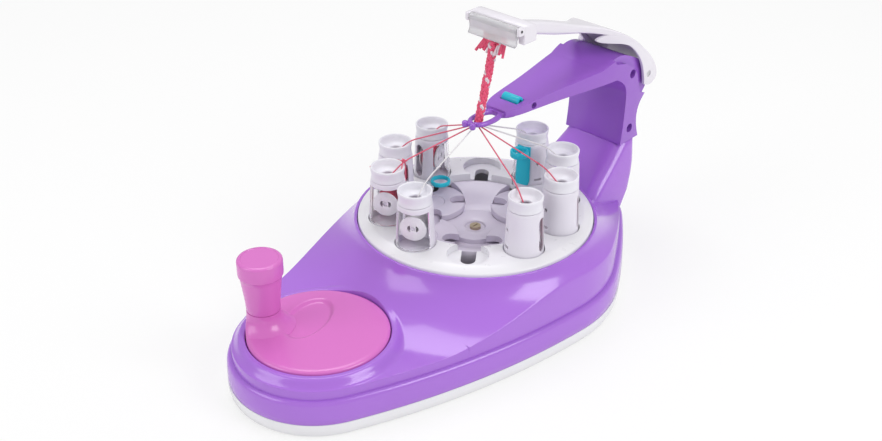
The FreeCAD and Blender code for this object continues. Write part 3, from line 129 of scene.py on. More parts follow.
FLOOR_HALF = 3.0
TABLE_GLOW = 0.7
table_mesh = bpy.data.meshes.new("table")
table_mesh.from_pydata([(-FLOOR_HALF, -FLOOR_HALF, 0), (FLOOR_HALF, -FLOOR_HALF, 0),
                        (FLOOR_HALF, FLOOR_HALF, 0), (-FLOOR_HALF, FLOOR_HALF, 0)], [], [(0, 1, 2, 3)])
table = linked("table", table_mesh)
paper, sheet, matt = new_finish("white_paper", {"Base Color": (0.9, 0.9, 0.9, 1), "Roughness": 0.9})
seen = wired(sheet, "LightPath", {}).outputs["Is Camera Ray"]
share = wired(sheet, "Math", {0: seen, 1: TABLE_GLOW}, "MULTIPLY")
lift = wired(sheet, "MixShader", {"Fac": share, 1: matt, 2: wired(sheet, "Emission", {})})
feed(sheet, sheet.nodes["Material Output"], {"Surface": lift})
table_mesh.materials.append(paper)

# Purple base shell: one glossy moulding with a plinth band, a raised collar round the
# platform, a rimmed well for the crank, soft shoulders between them and the rear post.
SHELL_PURPLE = (0.40, 0.155, 0.69)
CRANK_X = -154.0
LEDGE_INSET = 4.0
LEDGE_Z = 28.0
TRAY_Z = 11.0
COLLAR_RADIUS = 85.6
COLLAR_Z = 65.4
RIM_RADIUS = 48.0
RIM_Z = 40.5
DECK_Z = 33.0
JOIN_X = -96.5


def around(radius, turn):
    """Plan points at a radius and at angles about the origin."""
    return np.stack([radius * np.cos(turn), radius * np.sin(turn)], -1)


def egg(inset, turn):
    """Plan outline of the base: for each normal's angle, the point of the arc that has it."""
    centres = (97.0, 8.0, CRANK_X)
    radii = (52.0, 102.0, 61.5)
    long_radius = 520.0
    limits, sides = [], []
    for near, far in ((0, 1), (1, 2)):
        a, b = long_radius - radii[near], long_radius - radii[far]
        gap = centres[near] - centres[far]
        along = (a * a - b * b - gap * gap) / (-2.0 * gap)
        x = centres[far] + (b * b - a * a + gap * gap) / (2.0 * gap)
        drop = math.sqrt(b * b - (x - centres[far]) ** 2)
        sides.append((x, drop))
        limits += [math.atan2(drop, centres[near] - x), math.atan2(drop, centres[far] - x)]
    turn = np.arctan2(np.sin(turn), np.cos(turn))
    size, flip = np.abs(turn), np.sign(turn) + (turn == 0)
    bands = [size <= limits[0], size <= limits[1], size <= limits[2], size <= limits[3], size <= 4]
    cx = np.select(bands, [centres[0], sides[0][0], centres[1], sides[1][0], centres[2]])
    cy = np.select(bands, [0, -sides[0][1], 0, -sides[1][1], 0]) * flip
    r = np.select(bands, [radii[0], long_radius, radii[1], long_radius, radii[2]]) - inset
    return np.stack([cx, cy], -1) + around(r, turn)


def run_lengths(points):
    """Length along a line up to each of its points."""
    return np.concatenate([[0], np.cumsum(np.linalg.norm(np.diff(points, axis=0), axis=1))])


def egg_turns(step):
    """Normal angles that put outline points about one step apart, all the way round."""
    fine = np.linspace(-math.pi, math.pi, 20001)
    run = run_lengths(egg(0.0, fine))
    count = int(run[-1] / step / 2) * 2
    return np.interp(np.linspace(0, run[-1], count, endpoint=False), run, fine)


def squares(grid):
    """Four corners of each square of a grid, in order round it."""
    return np.stack([grid[:-1, :-1], grid[:-1, 1:], grid[1:, 1:], grid[1:, :-1]], 2)


def faced_out(mesh, weld=0.0):
    """Merges points closer than the weld, in millimetres, and turns every face outwards."""
    work = bmesh.new()
    work.from_mesh(mesh)
    if weld:
        bmesh.ops.remove_doubles(work, verts=work.verts, dist=weld * MM)
        bmesh.ops.dissolve_degenerate(work, edges=work.edges, dist=weld * MM * 0.1)
    bmesh.ops.recalc_face_normals(work, faces=work.faces)
    work.to_mesh(mesh)
    work.free()
    return mesh


def grid_mesh(*grids):
    """Mesh from grids of points in millimetres, rows x columns x 3, whose last column joins the first."""
    spots, faces, base = [], [], 0
    for points in grids:
        rows, columns = points.shape[:2]
        index = np.arange(rows * columns).reshape(rows, columns) + base
        faces.append(squares(np.hstack([index, index[:, :1]])).reshape(-1, 4))
        spots.append(points.reshape(-1, 3))
        base += rows * columns
    mesh = bpy.data.meshes.new("grid")
    mesh.from_pydata((np.concatenate(spots) * MM).tolist(), [], np.concatenate(faces).tolist())
    return faced_out(mesh, weld=0.02)


def seat(name, mesh, body, finish, stands_for=(), crease=38.0):
    """Shades a mesh smooth between its creases, gives it its finish and seats it on its body."""
    mesh.name = name
    mesh.shade_smooth()
    mesh.set_sharp_from_angle(angle=math.radians(crease))
    mesh.materials.clear()
    mesh.materials.append(finish)
    piece = linked(name, mesh)
    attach(piece, body)
    if stands_for:
        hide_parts(*stands_for)
    return piece


def new_group(name, settings, results):
    """Node group that takes a colour and numbers with usual values, and gives a colour and numbers."""
    group = bpy.data.node_groups.new(name, "ShaderNodeTree")
    face = group.interface
    face.new_socket("Colour", in_out="INPUT", socket_type="NodeSocketColor")
    for setting, usual in settings.items():
        face.new_socket(setting, in_out="INPUT", socket_type="NodeSocketFloat").default_value = usual
    face.new_socket("Colour", in_out="OUTPUT", socket_type="NodeSocketColor")
    for result in results:
        face.new_socket(result, in_out="OUTPUT", socket_type="NodeSocketFloat")
    return group, group.nodes.new("NodeGroupInput").outputs, group.nodes.new("NodeGroupOutput")


def grouped(tree, group, sockets):
    """Node that stands for a group in a material, with its inputs filled."""
    node = tree.nodes.new("ShaderNodeGroup")
    node.node_tree = group
    feed(tree, node, sockets)
    return node


def moulding_marks():
    """Node group: a slow drift of a plastic's colour and gloss, and the fine skin of the mould."""
    usual = {"Drift": 0.05, "Gloss": 0.25, "Scuff": 0.06, "Grain Size": 2500.0}
    group, into, out = new_group("moulding_marks", usual, ["Roughness", "Height"])
    place = wired(group, "TexCoord", {}).outputs["Object"]
    slow = wired(group, "TexNoise", {"Vector": place, "Scale": 22.0})
    fine = wired(group, "TexNoise", {"Vector": place, "Scale": into["Grain Size"], "Detail": 4.0})
    smear = wired(group, "TexNoise", {"Vector": place, "Scale": 130.0, "Detail": 5.0})
    shift = wired(group, "Math", {0: slow, 1: 0.5}, "SUBTRACT")
    swing = wired(group, "Math", {0: shift, 1: into["Drift"], 2: 1.0}, "MULTIPLY_ADD")
    tint = wired(group, "VectorMath", {0: into["Colour"], "Scale": swing}, "SCALE")
    dull = wired(group, "Math", {0: smear, 1: into["Scuff"], 2: into["Gloss"]}, "MULTIPLY_ADD")
    feed(group, out, {"Colour": tint, "Roughness": dull, "Height": fine})
    return group


MARKS = moulding_marks()


def plastic(name, colour, gloss=0.22, scuff=0.08, drift=0.06, grain=2500.0, bump=0.03, coat=0.0, metal=0.0):
    """Moulded plastic, or metal: one colour with the group's drift, scuffs and fine skin."""
    finish, tree, shader = new_finish(name, {"Coat Weight": coat, "Coat Roughness": 0.08, "Metallic": metal})
    marks = grouped(tree, MARKS, {"Colour": (*colour, 1), "Drift": drift, "Gloss": gloss, "Scuff": scuff,
                                  "Grain Size": grain}).outputs
    skin = wired(tree, "Bump", {"Strength": bump, "Distance": 0.0002, "Height": marks["Height"]})
    feed(tree, shader, {"Base Color": marks["Colour"], "Roughness": marks["Roughness"], "Normal": skin})
    return finish


def smooth_step(value):
    """Rises from 0 to 1 with level ends."""
    value = np.clip(value, 0.0, 1.0)
    return value * value * (3 - 2 * value)


def soft_max(a, b, blend):
    """The larger of two heights, with a fillet of about the blend's size where they cross."""
    h = np.clip(0.5 + 0.5 * (a - b) / blend, 0, 1)
    return b * (1 - h) + a * h + blend * h * (1 - h)


def soft_min(a, b, blend):
    """The smaller of two heights, rounded over where they cross."""
    return -soft_max(-a, -b, blend)


def shell_height(x, y, inside):
    """Height of the base's top: collar flare, crank rim and shoulder, held down by the flank at the ledge."""
    r = np.hypot(x, y)
    rise = np.clip((r - COLLAR_RADIUS - 2.0) / 50.0, 0, 1)
    flare = DECK_Z + (COLLAR_Z - DECK_Z) * np.clip(1 - rise ** 0.62, 0, 1) ** 1.45
    lip = COLLAR_Z - 2.2 * np.clip((r - COLLAR_RADIUS - 1.0) / 5.0, 0, 1) ** 2
    flare = soft_min(flare + 1.5, lip, 3.0)
    rc = np.hypot(x - CRANK_X, y)
    rim = DECK_Z - 6.0 + (RIM_Z - DECK_Z + 6.0) * (1 - smooth_step((rc - 51.0) / 10.5))
    rim = np.minimum(rim, RIM_Z)
    shoulder = DECK_Z - 3.0 + 15.0 * smooth_step((inside - 2.0) / 22.0) * smooth_step((x + 118.0) / 70.0)
    valley = smooth_step((inside - 20.0) / 26.0)
    shoulder = shoulder * (1 - valley) + (DECK_Z - 1.5) * valley
    top = soft_max(soft_max(flare, shoulder, 6.0), rim, 4.0)
    flank = LEDGE_Z + 42.0 * np.sqrt(np.clip(1 - (1 - np.clip(inside / 9.0, 0, 1)) ** 2, 0, 1))
    return soft_min(top, flank, 5.0)


def stretch(count, sharp=1.6):
    """Steps from 0 to 1, closer together at both ends."""
    t = np.linspace(0, 1, count)
    return np.where(t < 0.5, 0.5 * (2 * t) ** sharp, 1 - 0.5 * (2 - 2 * t) ** sharp)


purple = plastic("purple_gloss", SHELL_PURPLE, gloss=0.16, scuff=0.07, drift=0.05, coat=0.35)
fine_turn = np.linspace(0.0, math.pi, 20001)
join_turn = float(np.interp(-JOIN_X, -egg(LEDGE_INSET, fine_turn)[:, 0], fine_turn))
turns = np.sort(np.concatenate([egg_turns(2.6), [join_turn, -join_turn]]))
ledge = egg(LEDGE_INSET, turns)


def shell_patch(centre_x, inner, border):
    """Top of the base from a circle out to a border, along straight spokes from the circle's centre."""
    spoke = border - np.array([centre_x, 0.0])
    spoke /= np.linalg.norm(spoke, axis=1)[:, None]
    start = np.array([centre_x, 0.0]) + spoke * inner
    t = stretch(56)[:, None, None]
    flat = start[None] * (1 - t) + border[None] * t
    inside = np.linalg.norm(flat[:, :, None, :] - ledge[None, None], axis=-1).min(-1)
    on_ledge = np.abs(border[:, 0] - JOIN_X) > 1e-6
    inside[-1, on_ledge] = 0
    after = on_ledge.sum() + 1
    inside[-1, [0, after if after < len(border) else -1]] = 0
    height = shell_height(flat[..., 0], flat[..., 1], inside)
    height[-1, np.isclose(inside[-1], 0)] = LEDGE_Z
    top = np.concatenate([flat, height[..., None]], -1)
    brink = top[0]
    wall = [brink]
    for shrink, drop in ((0.5, 0.25), (0.8, 0.8), (0.8, 6.0)):
        lower = brink.copy()
        lower[:, :2] -= spoke * shrink
        lower[:, 2] -= drop
        wall.append(lower)
    return top, np.stack(wall[::-1])


brink = np.array([JOIN_X, egg(LEDGE_INSET, join_turn)[1]])
chord_y = np.linspace(1, -1, 61)[1:-1] * brink[1]
chord = np.stack([np.full_like(chord_y, JOIN_X), chord_y], -1)
is_east = ledge[:, 0] > JOIN_X - 1e-6
east_border = np.concatenate([ledge[is_east], chord])
is_west = ledge[:, 0] < JOIN_X + 1e-6
west_upper, west_lower = ledge[is_west & (turns > 0)], ledge[is_west & (turns <= 0)]
west_border = np.concatenate([west_upper, west_lower, chord[::-1]])


def base_surface():
    """The base's outer skin: two spoked patches on top and the plinth band round the ledge."""
    grids = []
    patches = ((0.0, COLLAR_RADIUS + 0.8, east_border), (CRANK_X, RIM_RADIUS + 0.8, west_border))
    for centre_x, inner, border in patches:
        grids += shell_patch(centre_x, inner, border)
    band = [(LEDGE_INSET, LEDGE_Z), (2.9, 27.85), (1.9, 27.3), (1.1, 26.3), (0.6, 24.6), (0.3, 21.0),
            (0.1, 16.0), (0.0, TRAY_Z + 0.5), (0.3, TRAY_Z + 0.1), (2.4, TRAY_Z + 0.1)]
    grids.append(np.stack([np.insert(egg(inset, turns), 2, z, 1) for inset, z in band]))
    return grids


POST_LEVELS = [(26.0, 84.0, 143.5, 33.0), (40.0, 92.0, 149.5, 34.0), (52.0, 104.0, 154.5, 32.5),
               (60.0, 114.0, 157.5, 31.0), (67.0, 124.0, 159.4, 29.4), (73.0, 132.6, 160.8, 28.0),
               (77.3, 137.4, 161.4, 27.2), (77.9, 138.0, 160.9, 26.7)]


def round_rect(half_x, half_y, corner, steps=10):
    """Points of a rounded rectangle about the origin, from the directions of its normals."""
    quarter = np.linspace(0.001, math.pi / 2 - 0.001, steps)
    turn = np.concatenate([quarter + k * math.pi / 2 for k in range(4)])
    flat = around(1.0, turn)
    return np.sign(flat) * (np.array([half_x, half_y]) - corner) + corner * flat


def post_surface():
    """Rear post: rounded oblong sections stacked from inside the base up to the arm's seam."""
    rows = []
    for z, front, back, half in POST_LEVELS:
        ring = round_rect((back - front) / 2, half, 11.0) + [(front + back) / 2, 0]
        rows.append(np.insert(ring, 2, z, 1))
    rows.append(rows[-1] * [0, 0, 1] + [149.0, 0, 0])
    return np.stack(rows)


seat("shell_skin", grid_mesh(*base_surface()), "base", purple, ["base_shell"], crease=50.0)
seat("rear_post", grid_mesh(post_surface()), "base", purple, crease=50.0)

# White tray under the shell: a moulded skirt with a rounded foot, screwed up into the
# base from below. The screws sit deep in their holes and rubber feet carry the weight.
TRAY_WHITE = (0.86, 0.86, 0.88)
FOOT_Z = 1.2
SCREW_SPOTS = ((-190, 0), (-112, 40), (-112, -40), (20, 90.6), (20, -90.6), (112, 36), (112, -36))


def tray_surface():
    """Skirt of the tray, in and out, with a flat floor drawn in to the middle line."""
    middle = np.stack([np.clip(egg(9.0, turns)[:, 0], CRANK_X, 97.0), np.zeros(len(turns))], -1)
    inner = np.stack([np.clip(egg(5.0, turns)[:, 0], CRANK_X, 97.0), np.zeros(len(turns))], -1)
    skirt = ((9.0, FOOT_Z), (2.4, FOOT_Z), (1.4, 1.7), (0.7, 3.2), (0.1, 6.2), (0.0, TRAY_Z), (2.8, TRAY_Z),
             (2.8, 14.0), (5.0, 14.0), (5.0, 3.2))
    rows = [np.insert(egg(inset, turns), 2, z, 1) for inset, z in skirt]
    return np.stack([np.insert(middle, 2, FOOT_Z, 1), *rows, np.insert(inner, 2, 3.2, 1)])


def full_turn(count):
    """Even angles all the way round."""
    return np.linspace(0, 2 * math.pi, count, endpoint=False)


def turned_surface(profile, x=0.0, y=0.0, segments=72):
    """A profile of (radius, height) turned about an upright axis."""
    r, z = np.array(profile, float).T
    turn = full_turn(segments)
    return np.stack([np.outer(r, np.cos(turn)) + x, np.outer(r, np.sin(turn)) + y,
                     np.outer(z, np.ones(segments))], -1)


def drum(radius, low, high, x=0.0, y=0.0, segments=48):
    """Closed upright cylinder."""
    return turned_surface([(0, low), (radius, low), (radius, high), (0, high)], x, y, segments)


def finished(blank, spent=()):
    """Mesh that a blank's modifiers leave. The blank and its tools are then removed."""
    bpy.context.view_layer.update()
    result = bpy.data.meshes.new_from_object(blank.evaluated_get(bpy.context.evaluated_depsgraph_get()))
    for item in (blank, *spent):
        bpy.data.objects.remove(item)
    return result


def carve(mesh, tools, operation="DIFFERENCE"):
    """Takes closed tools out of a closed mesh, or keeps what it shares with them."""
    blank, spent = linked("blank", mesh), []
    for tool in tools:
        cutter = linked("tool", tool)
        cutter.hide_set(True)
        spent.append(cutter)
        step = blank.modifiers.new("cut", "BOOLEAN")
        step.object = cutter
        step.operation = operation
        step.solver = "EXACT"
    return finished(blank, spent)


white_gloss = plastic("tray_white_gloss", TRAY_WHITE, gloss=0.2, scuff=0.1, drift=0.03)
screw_holes = grid_mesh(*[drum(3.4, 0.0, 2.9, x, y, 24) for x, y in SCREW_SPOTS])
tray_mesh = carve(grid_mesh(tray_surface()), [screw_holes])
seat("tray_skirt", tray_mesh, "base", white_gloss, ["bottom_tray"])
RUBBER_BLACK = (0.03, 0.03, 0.032)
rubber = plastic("black_rubber", RUBBER_BLACK, gloss=0.7, scuff=0.15, drift=0.2, grain=900.0, bump=0.15)
steel = plastic("screw_steel", (0.62, 0.62, 0.64), gloss=0.28, scuff=0.2, drift=0.1, grain=4000.0, metal=1.0)
brass = plastic("screw_brass", (0.50, 0.41, 0.30), gloss=0.3, scuff=0.2, drift=0.1, grain=4000.0, metal=1.0)
gear_white = plastic("gear_white", (0.78, 0.77, 0.8), gloss=0.4, scuff=0.12)


def dress(finish, *nodes):
    """Gives CAD pieces whose shape is right their finish."""
    for node in nodes:
        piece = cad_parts.get(node)
        if piece:
            piece.data.materials.clear()
            piece.data.materials.append(finish)


dress(rubber, "rubber_feet", "centre_foot")
dress(steel, "base_screws", "arm_screws", "pivot_pin", "jaw_pin")
dress(brass, "hub_screw")
dress(gear_white, "gear_deck", "crank_gear", "idler_gear", "ring_gear")

# Pink crank: a domed disc with a dished thumb rest beside the boss, and a flared knob
# that turns on the boss. Both are glossy mouldings of one colour.
CRANK_PINK = (0.68, 0.17, 0.56)
DISC_RADIUS = 47.4
DISC_Z = 42.0
DISC_EDGE = 3.2
KNOB_THROW = 36.5
KNOB_TURN = math.radians(123.0)
KNOB_WAIST = 54.0
KNOB_TOP = 93.0
knob_x = CRANK_X + KNOB_THROW * math.cos(KNOB_TURN)
knob_y = KNOB_THROW * math.sin(KNOB_TURN)
REST_SPOT = (-150.5, 13.5)
REST_HALF = (25.0, 14.5)
REST_TURN = math.radians(22.0)
pink = plastic("crank_pink", CRANK_PINK, gloss=0.22, scuff=0.02, drift=0.02, bump=0.012, coat=0.15)


def disc_top(x, y):
    """Height of the disc: a low dome, a rounded edge and the dished thumb rest."""
    r = np.hypot(x - CRANK_X, y)
    dome = DISC_Z + 0.9 * (1 - (r / DISC_RADIUS) ** 2)
    edge = np.clip((r - DISC_RADIUS + DISC_EDGE) / DISC_EDGE, 0, 1)
    dx, dy = x - REST_SPOT[0], y - REST_SPOT[1]
    u = (dx * math.cos(REST_TURN) + dy * math.sin(REST_TURN)) / REST_HALF[0]
    v = (-dx * math.sin(REST_TURN) + dy * math.cos(REST_TURN)) / REST_HALF[1]
    dish = 1 - smooth_step((np.hypot(u, v) - 0.82) / 0.2)
    return dome - 2.0 * (1 - np.sqrt(np.clip(1 - edge ** 2, 0, 1))) - 1.9 * dish


def disc_surface():
    """Top of the disc on rings of fine points, then its wall and underside."""
    flat = DISC_RADIUS - DISC_EDGE
    r = np.concatenate([np.linspace(0, flat, 60), flat + DISC_EDGE * np.sin(np.linspace(0.15, 1.57, 8))])
    turn = full_turn(256)
    x, y = CRANK_X + np.outer(r, np.cos(turn)), np.outer(r, np.sin(turn))
    top = np.stack([x, y, disc_top(x, y)], -1)
    rows = [top]
    under = ((DISC_RADIUS, 39.0), (DISC_RADIUS, 36.6), (DISC_RADIUS - 1, 36.1), (6.0, 36.1), (6.0, 19.8),
             (0.0, 19.8))
    rows.append(turned_surface(under, CRANK_X, 0.0, len(turn)))
    return np.concatenate(rows)


def boss_surface():
    """Boss under the knob: a foot that sweeps up from the disc, kept inside the disc's edge."""
    rise = np.linspace(0, 1, 18)
    radius = 11.4 + 9.0 * (1 - rise) ** 2.6
    z = DISC_Z - 0.8 + (KNOB_WAIST - DISC_Z + 0.8) * rise
    post = [(11.0, KNOB_WAIST + 0.1), (4.0, KNOB_WAIST + 0.1), (4.0, KNOB_TOP - 12.2), (0, KNOB_TOP - 12.2)]
    profile = [(0, 38.0), (20.4, 38.0), *zip(radius, z), *post]
    rows = turned_surface(profile, knob_x, knob_y, 96)
    reach = np.hypot(rows[..., 0] - CRANK_X, rows[..., 1])
    pull = np.minimum(1.0, (DISC_RADIUS - 0.1) / np.maximum(reach, 1e-6))
    rows[..., 0] = CRANK_X + (rows[..., 0] - CRANK_X) * pull
    rows[..., 1] *= pull
    return rows


seat("crank_top", grid_mesh(disc_surface()), "crank", pink, ["crank_disc"])
seat("crank_boss", grid_mesh(boss_surface()), "crank", pink)
KNOB_PROFILE = [(4.06, 81.3), (4.06, 54.3), (10.7, 54.3), (11.2, 54.6), (11.4, 55.4), (11.6, 60.0),
                (12.2, 66.0), (12.9, 72.0), (13.6, 77.5), (14.0, 80.4), (14.5, 81.1), (14.9, 81.6),
                (15.0, 82.6), (15.0, 90.8), (14.85, 91.8), (14.3, 92.5), (13.4, 92.9), (12.4, 93.0),
                (12.2, 92.7), (0.0, 92.7), (0.0, 81.3)]
seat("knob_grip", grid_mesh(turned_surface(KNOB_PROFILE, knob_x, knob_y, 96)), "knob", pink,
     ["crank_knob"], crease=32.0)

# White carousel: a turned ring whose ten seats open inwards, eight of them with a pod.
# Its skirt reaches down inside the collar to the gear ring.
RING_WHITE = (0.80, 0.79, 0.83)
SEAT_CIRCLE = 63.6
SEAT_TURN = 1.2
ring_white = plastic("ring_white", RING_WHITE, gloss=0.24, scuff=0.1, drift=0.04)
RING_PROFILE = [(52.0, 61.0), (76.0, 61.0), (76.0, 30.0), (81.6, 30.0), (81.6, 33.0), (85.0, 34.0),
                (85.0, 65.7), (84.7, 66.3), (84.1, 66.8), (80.0, 68.6), (78.6, 69.2), (77.4, 69.5),
                (53.2, 69.5), (52.4, 69.2), (52.0, 68.4)]


def polar(radius, degrees):
    """Plan point at a radius and angle."""
    turn = math.radians(degrees)
    return radius * math.cos(turn), radius * math.sin(turn)


def prism(plan, low, high):
    """Closed upright prism on a convex plan outline."""
    plan = np.asarray(plan, float)
    middle = plan.mean(0)
    ends = plan * 0 + middle
    rows = ((ends, low), (plan, low), (plan, high), (ends, high))
    return np.stack([np.insert(spots, 2, z, 1) for spots, z in rows])


def slot_plan(near, far, half, degrees, steps=12):
    """Slot along a direction from a distance to a distance, its far end round."""
    turn = np.linspace(-math.pi / 2, math.pi / 2, steps)
    along = np.concatenate([[near], far + half * np.cos(turn), [near]])
    across = np.concatenate([[-half], half * np.sin(turn), [half]])
    c, s = polar(1.0, degrees)
    return np.stack([along * c - across * s, along * s + across * c], -1)


seat_cuts = []
for k in range(10):
    angle = SEAT_TURN + 36.0 * k
    x, y = polar(SEAT_CIRCLE, angle)
    seat_cuts.append(grid_mesh(drum(14.6, 64.5, 80.0, x, y, 64)))
    seat_cuts.append(grid_mesh(prism(slot_plan(40.0, SEAT_CIRCLE, 5.2, angle), 50.0, 80.0)))
ring_mesh = carve(grid_mesh(turned_surface(RING_PROFILE + RING_PROFILE[:1], segments=240)), seat_cuts)
carousel = seat("carousel_top", ring_mesh, "carousel", ring_white, ["carousel_ring"],
                crease=30.0)


def soften(piece, width, angle=35.0, segments=2):
    """Rounds a piece's edges over."""
    edge = piece.modifiers.new("edges", "BEVEL")
    edge.width = width * MM
    edge.segments = segments
    edge.limit_method = "ANGLE"
    edge.angle_limit = math.radians(angle)
    piece.data.shade_smooth()


soften(carousel, 0.45)

# Lavender island inside the ring: a dished top with four scallops for the rotors and a
# hub held by a brass screw. It stands still on the gear deck.
LAVENDER = (0.64, 0.585, 0.70)
ROTOR_CIRCLE = 42.0
ROTOR_ANGLES = [SEAT_TURN + 36.0 + spread for spread in (54.0, -54.0, 126.0, -126.0)]
lavender = plastic("lavender_gloss", LAVENDER, gloss=0.24, scuff=0.03, drift=0.02)
ISLAND_PROFILE = [(0, 44.1), (17.5, 44.1), (17.5, 49.4), (51.5, 49.4), (51.5, 63.2), (51.2, 63.8),
                  (50.6, 64.0), (49.6, 63.8), (47.0, 62.8), (43.5, 61.6), (38.0, 58.6), (32.0, 55.0),
                  (28.5, 53.2), (25.0, 52.3), (22.1, 52.2), (21.5, 54.6), (21.2, 55.2), (20.4, 55.4),
                  (14.0, 55.0), (8.2, 54.5), (7.6, 54.1), (7.0, 52.8), (0, 52.8)]
wells = []
for angle in ROTOR_ANGLES:
    x, y = polar(ROTOR_CIRCLE, angle)
    well = [(0, 40), (7.6, 40), (7.6, 54.4), (24.9, 54.4), (24.9, 80), (0, 80)]
    wells.append(grid_mesh(turned_surface(well, x, y, 96)))
island_mesh = carve(grid_mesh(turned_surface(ISLAND_PROFILE, segments=192)), wells)
soften(seat("island_top", island_mesh, "base", lavender, ["platform_island"], crease=30.0), 0.35)

# Four lavender rotors, each a disc with four U-shaped mouths on a shaft that carries
# its gear below the ring. The mouths take a pod's foot out of its seat.
ROTOR_PROFILE = [(0, 55.0), (24.4, 55.0), (24.4, 59.4), (23.9, 59.9), (23.2, 60.0), (11.0, 59.4),
                 (9.4, 59.0), (8.8, 58.4), (0, 58.4)]
GEAR_MODULE = 3.5
ROTOR_TEETH = 12

def geared(teeth, low, high, phase, x, y):
    """Spur gear as a star-shaped outline whose radius steps between root and tip."""
    turn = full_turn(teeth * 12)
    wave = np.clip(1.9 * np.cos(teeth * (turn - math.radians(phase))) + 0.1, -1, 1)
    r = GEAR_MODULE * (teeth / 2 - 0.125 + 0.925 * wave)
    return prism(around(r, turn) + [x, y], low, high)


for k, angle in enumerate(ROTOR_ANGLES):
    x, y = polar(ROTOR_CIRCLE, angle)
    mouths = []
    for m in range(4):
        plan = slot_plan(-40.0, -18.4, 5.6, angle + 45.0 + 90.0 * m) + [x, y]
        mouths.append(grid_mesh(prism(plan, 50.0, 70.0)))
    disc = carve(grid_mesh(turned_surface(ROTOR_PROFILE, x, y, 96)), mouths)
    phase = round(angle / 10.0) * 10.0
    phase = angle + (phase - angle) * 3.0
    name = "rotor_%d" % (k + 1)
    soften(seat(name + "_disc", disc, name, lavender, [name], crease=30.0), 0.4)
    stem = [drum(7.0, 29.5, 55.2, x, y, 48), geared(ROTOR_TEETH, 24.0, 30.0, phase, x, y)]
    seat(name + "_stem", grid_mesh(*stem), name, gear_white)

# Eight thread pods in the ring's seats. Each is a tapered white tube with a floor, a foot
# that drops into the seat's slot, an open front for the window, a tall slot in one side
# and a pip hole over a bar of light in the other. A spindle inside carries the spool.
POD_WHITE = (0.77, 0.74, 0.82)
POD_LOW = 64.65
POD_FOOT = 14.0
POD_NECK = 12.3
POD_NECK_Z = 101.0
POD_WALL = 1.15
PIP_RADIUS = 1.4
MOUTH_LOW = 69.65
MOUTH_HIGH = 97.5
SPOOL_Z = 83.5
PODS = ((180, -150), (144, -152), (108, 10), (72, -70), (0, 128), (-36, 20), (-72, 54), (-108, 39))
WHITE_PODS = (0, 4, 5)
pod_white = plastic("pod_white", POD_WHITE, gloss=0.3, scuff=0.1, drift=0.03)


def pod_radius(z, grow=0.0):
    """Outer radius of a pod at a height: it tapers evenly from foot to neck."""
    return POD_FOOT + grow + (POD_NECK - POD_FOOT) * (np.asarray(z) - POD_LOW) / (POD_NECK_Z - POD_LOW)


def pod_spot(angle):
    """Middle of a seat in plan."""
    return np.array(polar(SEAT_CIRCLE, angle + SEAT_TURN))


def axes(yaw):
    """Level directions along an angle and square to it."""
    a = math.radians(yaw)
    return np.array([math.cos(a), math.sin(a), 0]), np.array([-math.sin(a), math.cos(a), 0])


def fan_plan(yaw, half_angle, reach=30.0, steps=9):
    """Sector of plan from the axis out to a reach, about a direction."""
    turn = np.radians(np.linspace(yaw - half_angle, yaw + half_angle, steps))
    return np.concatenate([[[0.0, 0.0]], around(reach, turn)])


def side_bore(outline, yaw, near, far, spot):
    """Prism through a wall: an outline of (across, height) points carried out along a direction."""
    out, aside = axes(yaw)
    outline = np.asarray(outline, float)
    face = aside * outline[:, :1] + np.array([0, 0, 1]) * outline[:, 1:]
    tip = face * 0 + face.mean(0)
    return np.stack([tip + out * near, face + out * near, face + out * far, tip + out * far]) + [*spot, 0]


def upright_slot(half, low, high, steps=9):
    """Tall slot with round ends, as (across, height) points."""
    turn = np.linspace(0, math.pi, steps)
    top = around(half, turn) + [0, high - half]
    return np.concatenate([top, [[0, low + high]] - top])


def lying(surface, spot, yaw, height):
    """Lays an upright turned form down: its axis goes along a direction in plan, at a height."""
    along, aside = axes(yaw)
    flat = surface[..., 2:] * along + surface[..., :1] * aside + surface[..., 1:2] * np.array([0, 0, 1])
    return flat + [*spot, height]


def merged(*meshes):
    """Several meshes as one."""
    work = bmesh.new()
    for mesh in meshes:
        work.from_mesh(mesh)
    whole = bpy.data.meshes.new("merged")
    work.to_mesh(whole)
    work.free()
    return whole


def pod_body(spot, yaw):
    """Tube with its window mouth, slot, pip hole, bar of light, foot and spindle."""
    outside = [(0, POD_LOW), (13.3, POD_LOW), (13.8, POD_LOW + 0.15), (pod_radius(65.6) - 0.02, 65.6)]
    outside += [(pod_radius(z), z) for z in (70.0, 78.0, 86.0, 94.0, 98.8)]
    outside += [(12.25, 100.0), (11.95, 100.7), (11.6, POD_NECK_Z), (11.15, POD_NECK_Z)]
    inside = [(pod_radius(z, -POD_WALL), z) for z in (94.0, 80.0, 66.25)] + [(0, 66.25)]
    tube = grid_mesh(turned_surface(outside + inside, *spot, 96))
    turn = full_turn(16)
    pip = around(PIP_RADIUS, turn) + [0, SPOOL_Z + 3.0]
    tools = [prism(fan_plan(yaw, 62.0) + spot, MOUTH_LOW, MOUTH_HIGH),
             side_bore(upright_slot(3.6, MOUTH_LOW + 1, MOUTH_HIGH - 1), yaw - 115, 2.0, 20.0, spot),
             side_bore(pip, yaw + 115, 2.0, 20.0, spot),
             side_bore([(-3, 72.65), (3, 72.65), (3, 74.45), (-3, 74.45)], yaw + 115, 2.0, 20.0, spot)]
    tube = carve(tube, [grid_mesh(tool) for tool in tools])
    foot = drum(4.5, 61.3, 65.0, *spot, 32)
    spindle = turned_surface([(0, -12.4), (1.6, -12.4), (1.6, 5.9), (1.3, 6.1), (0, 6.1)], 0, 0, 24)
    stop = turned_surface([(0, -11.4), (3.4, -11.4), (3.4, -7.1), (0, -7.1)], 0, 0, 32)
    inner = [grid_mesh(lying(bar, spot, yaw, SPOOL_Z)) for bar in (spindle, stop)]
    return merged(tube, grid_mesh(foot), *inner)


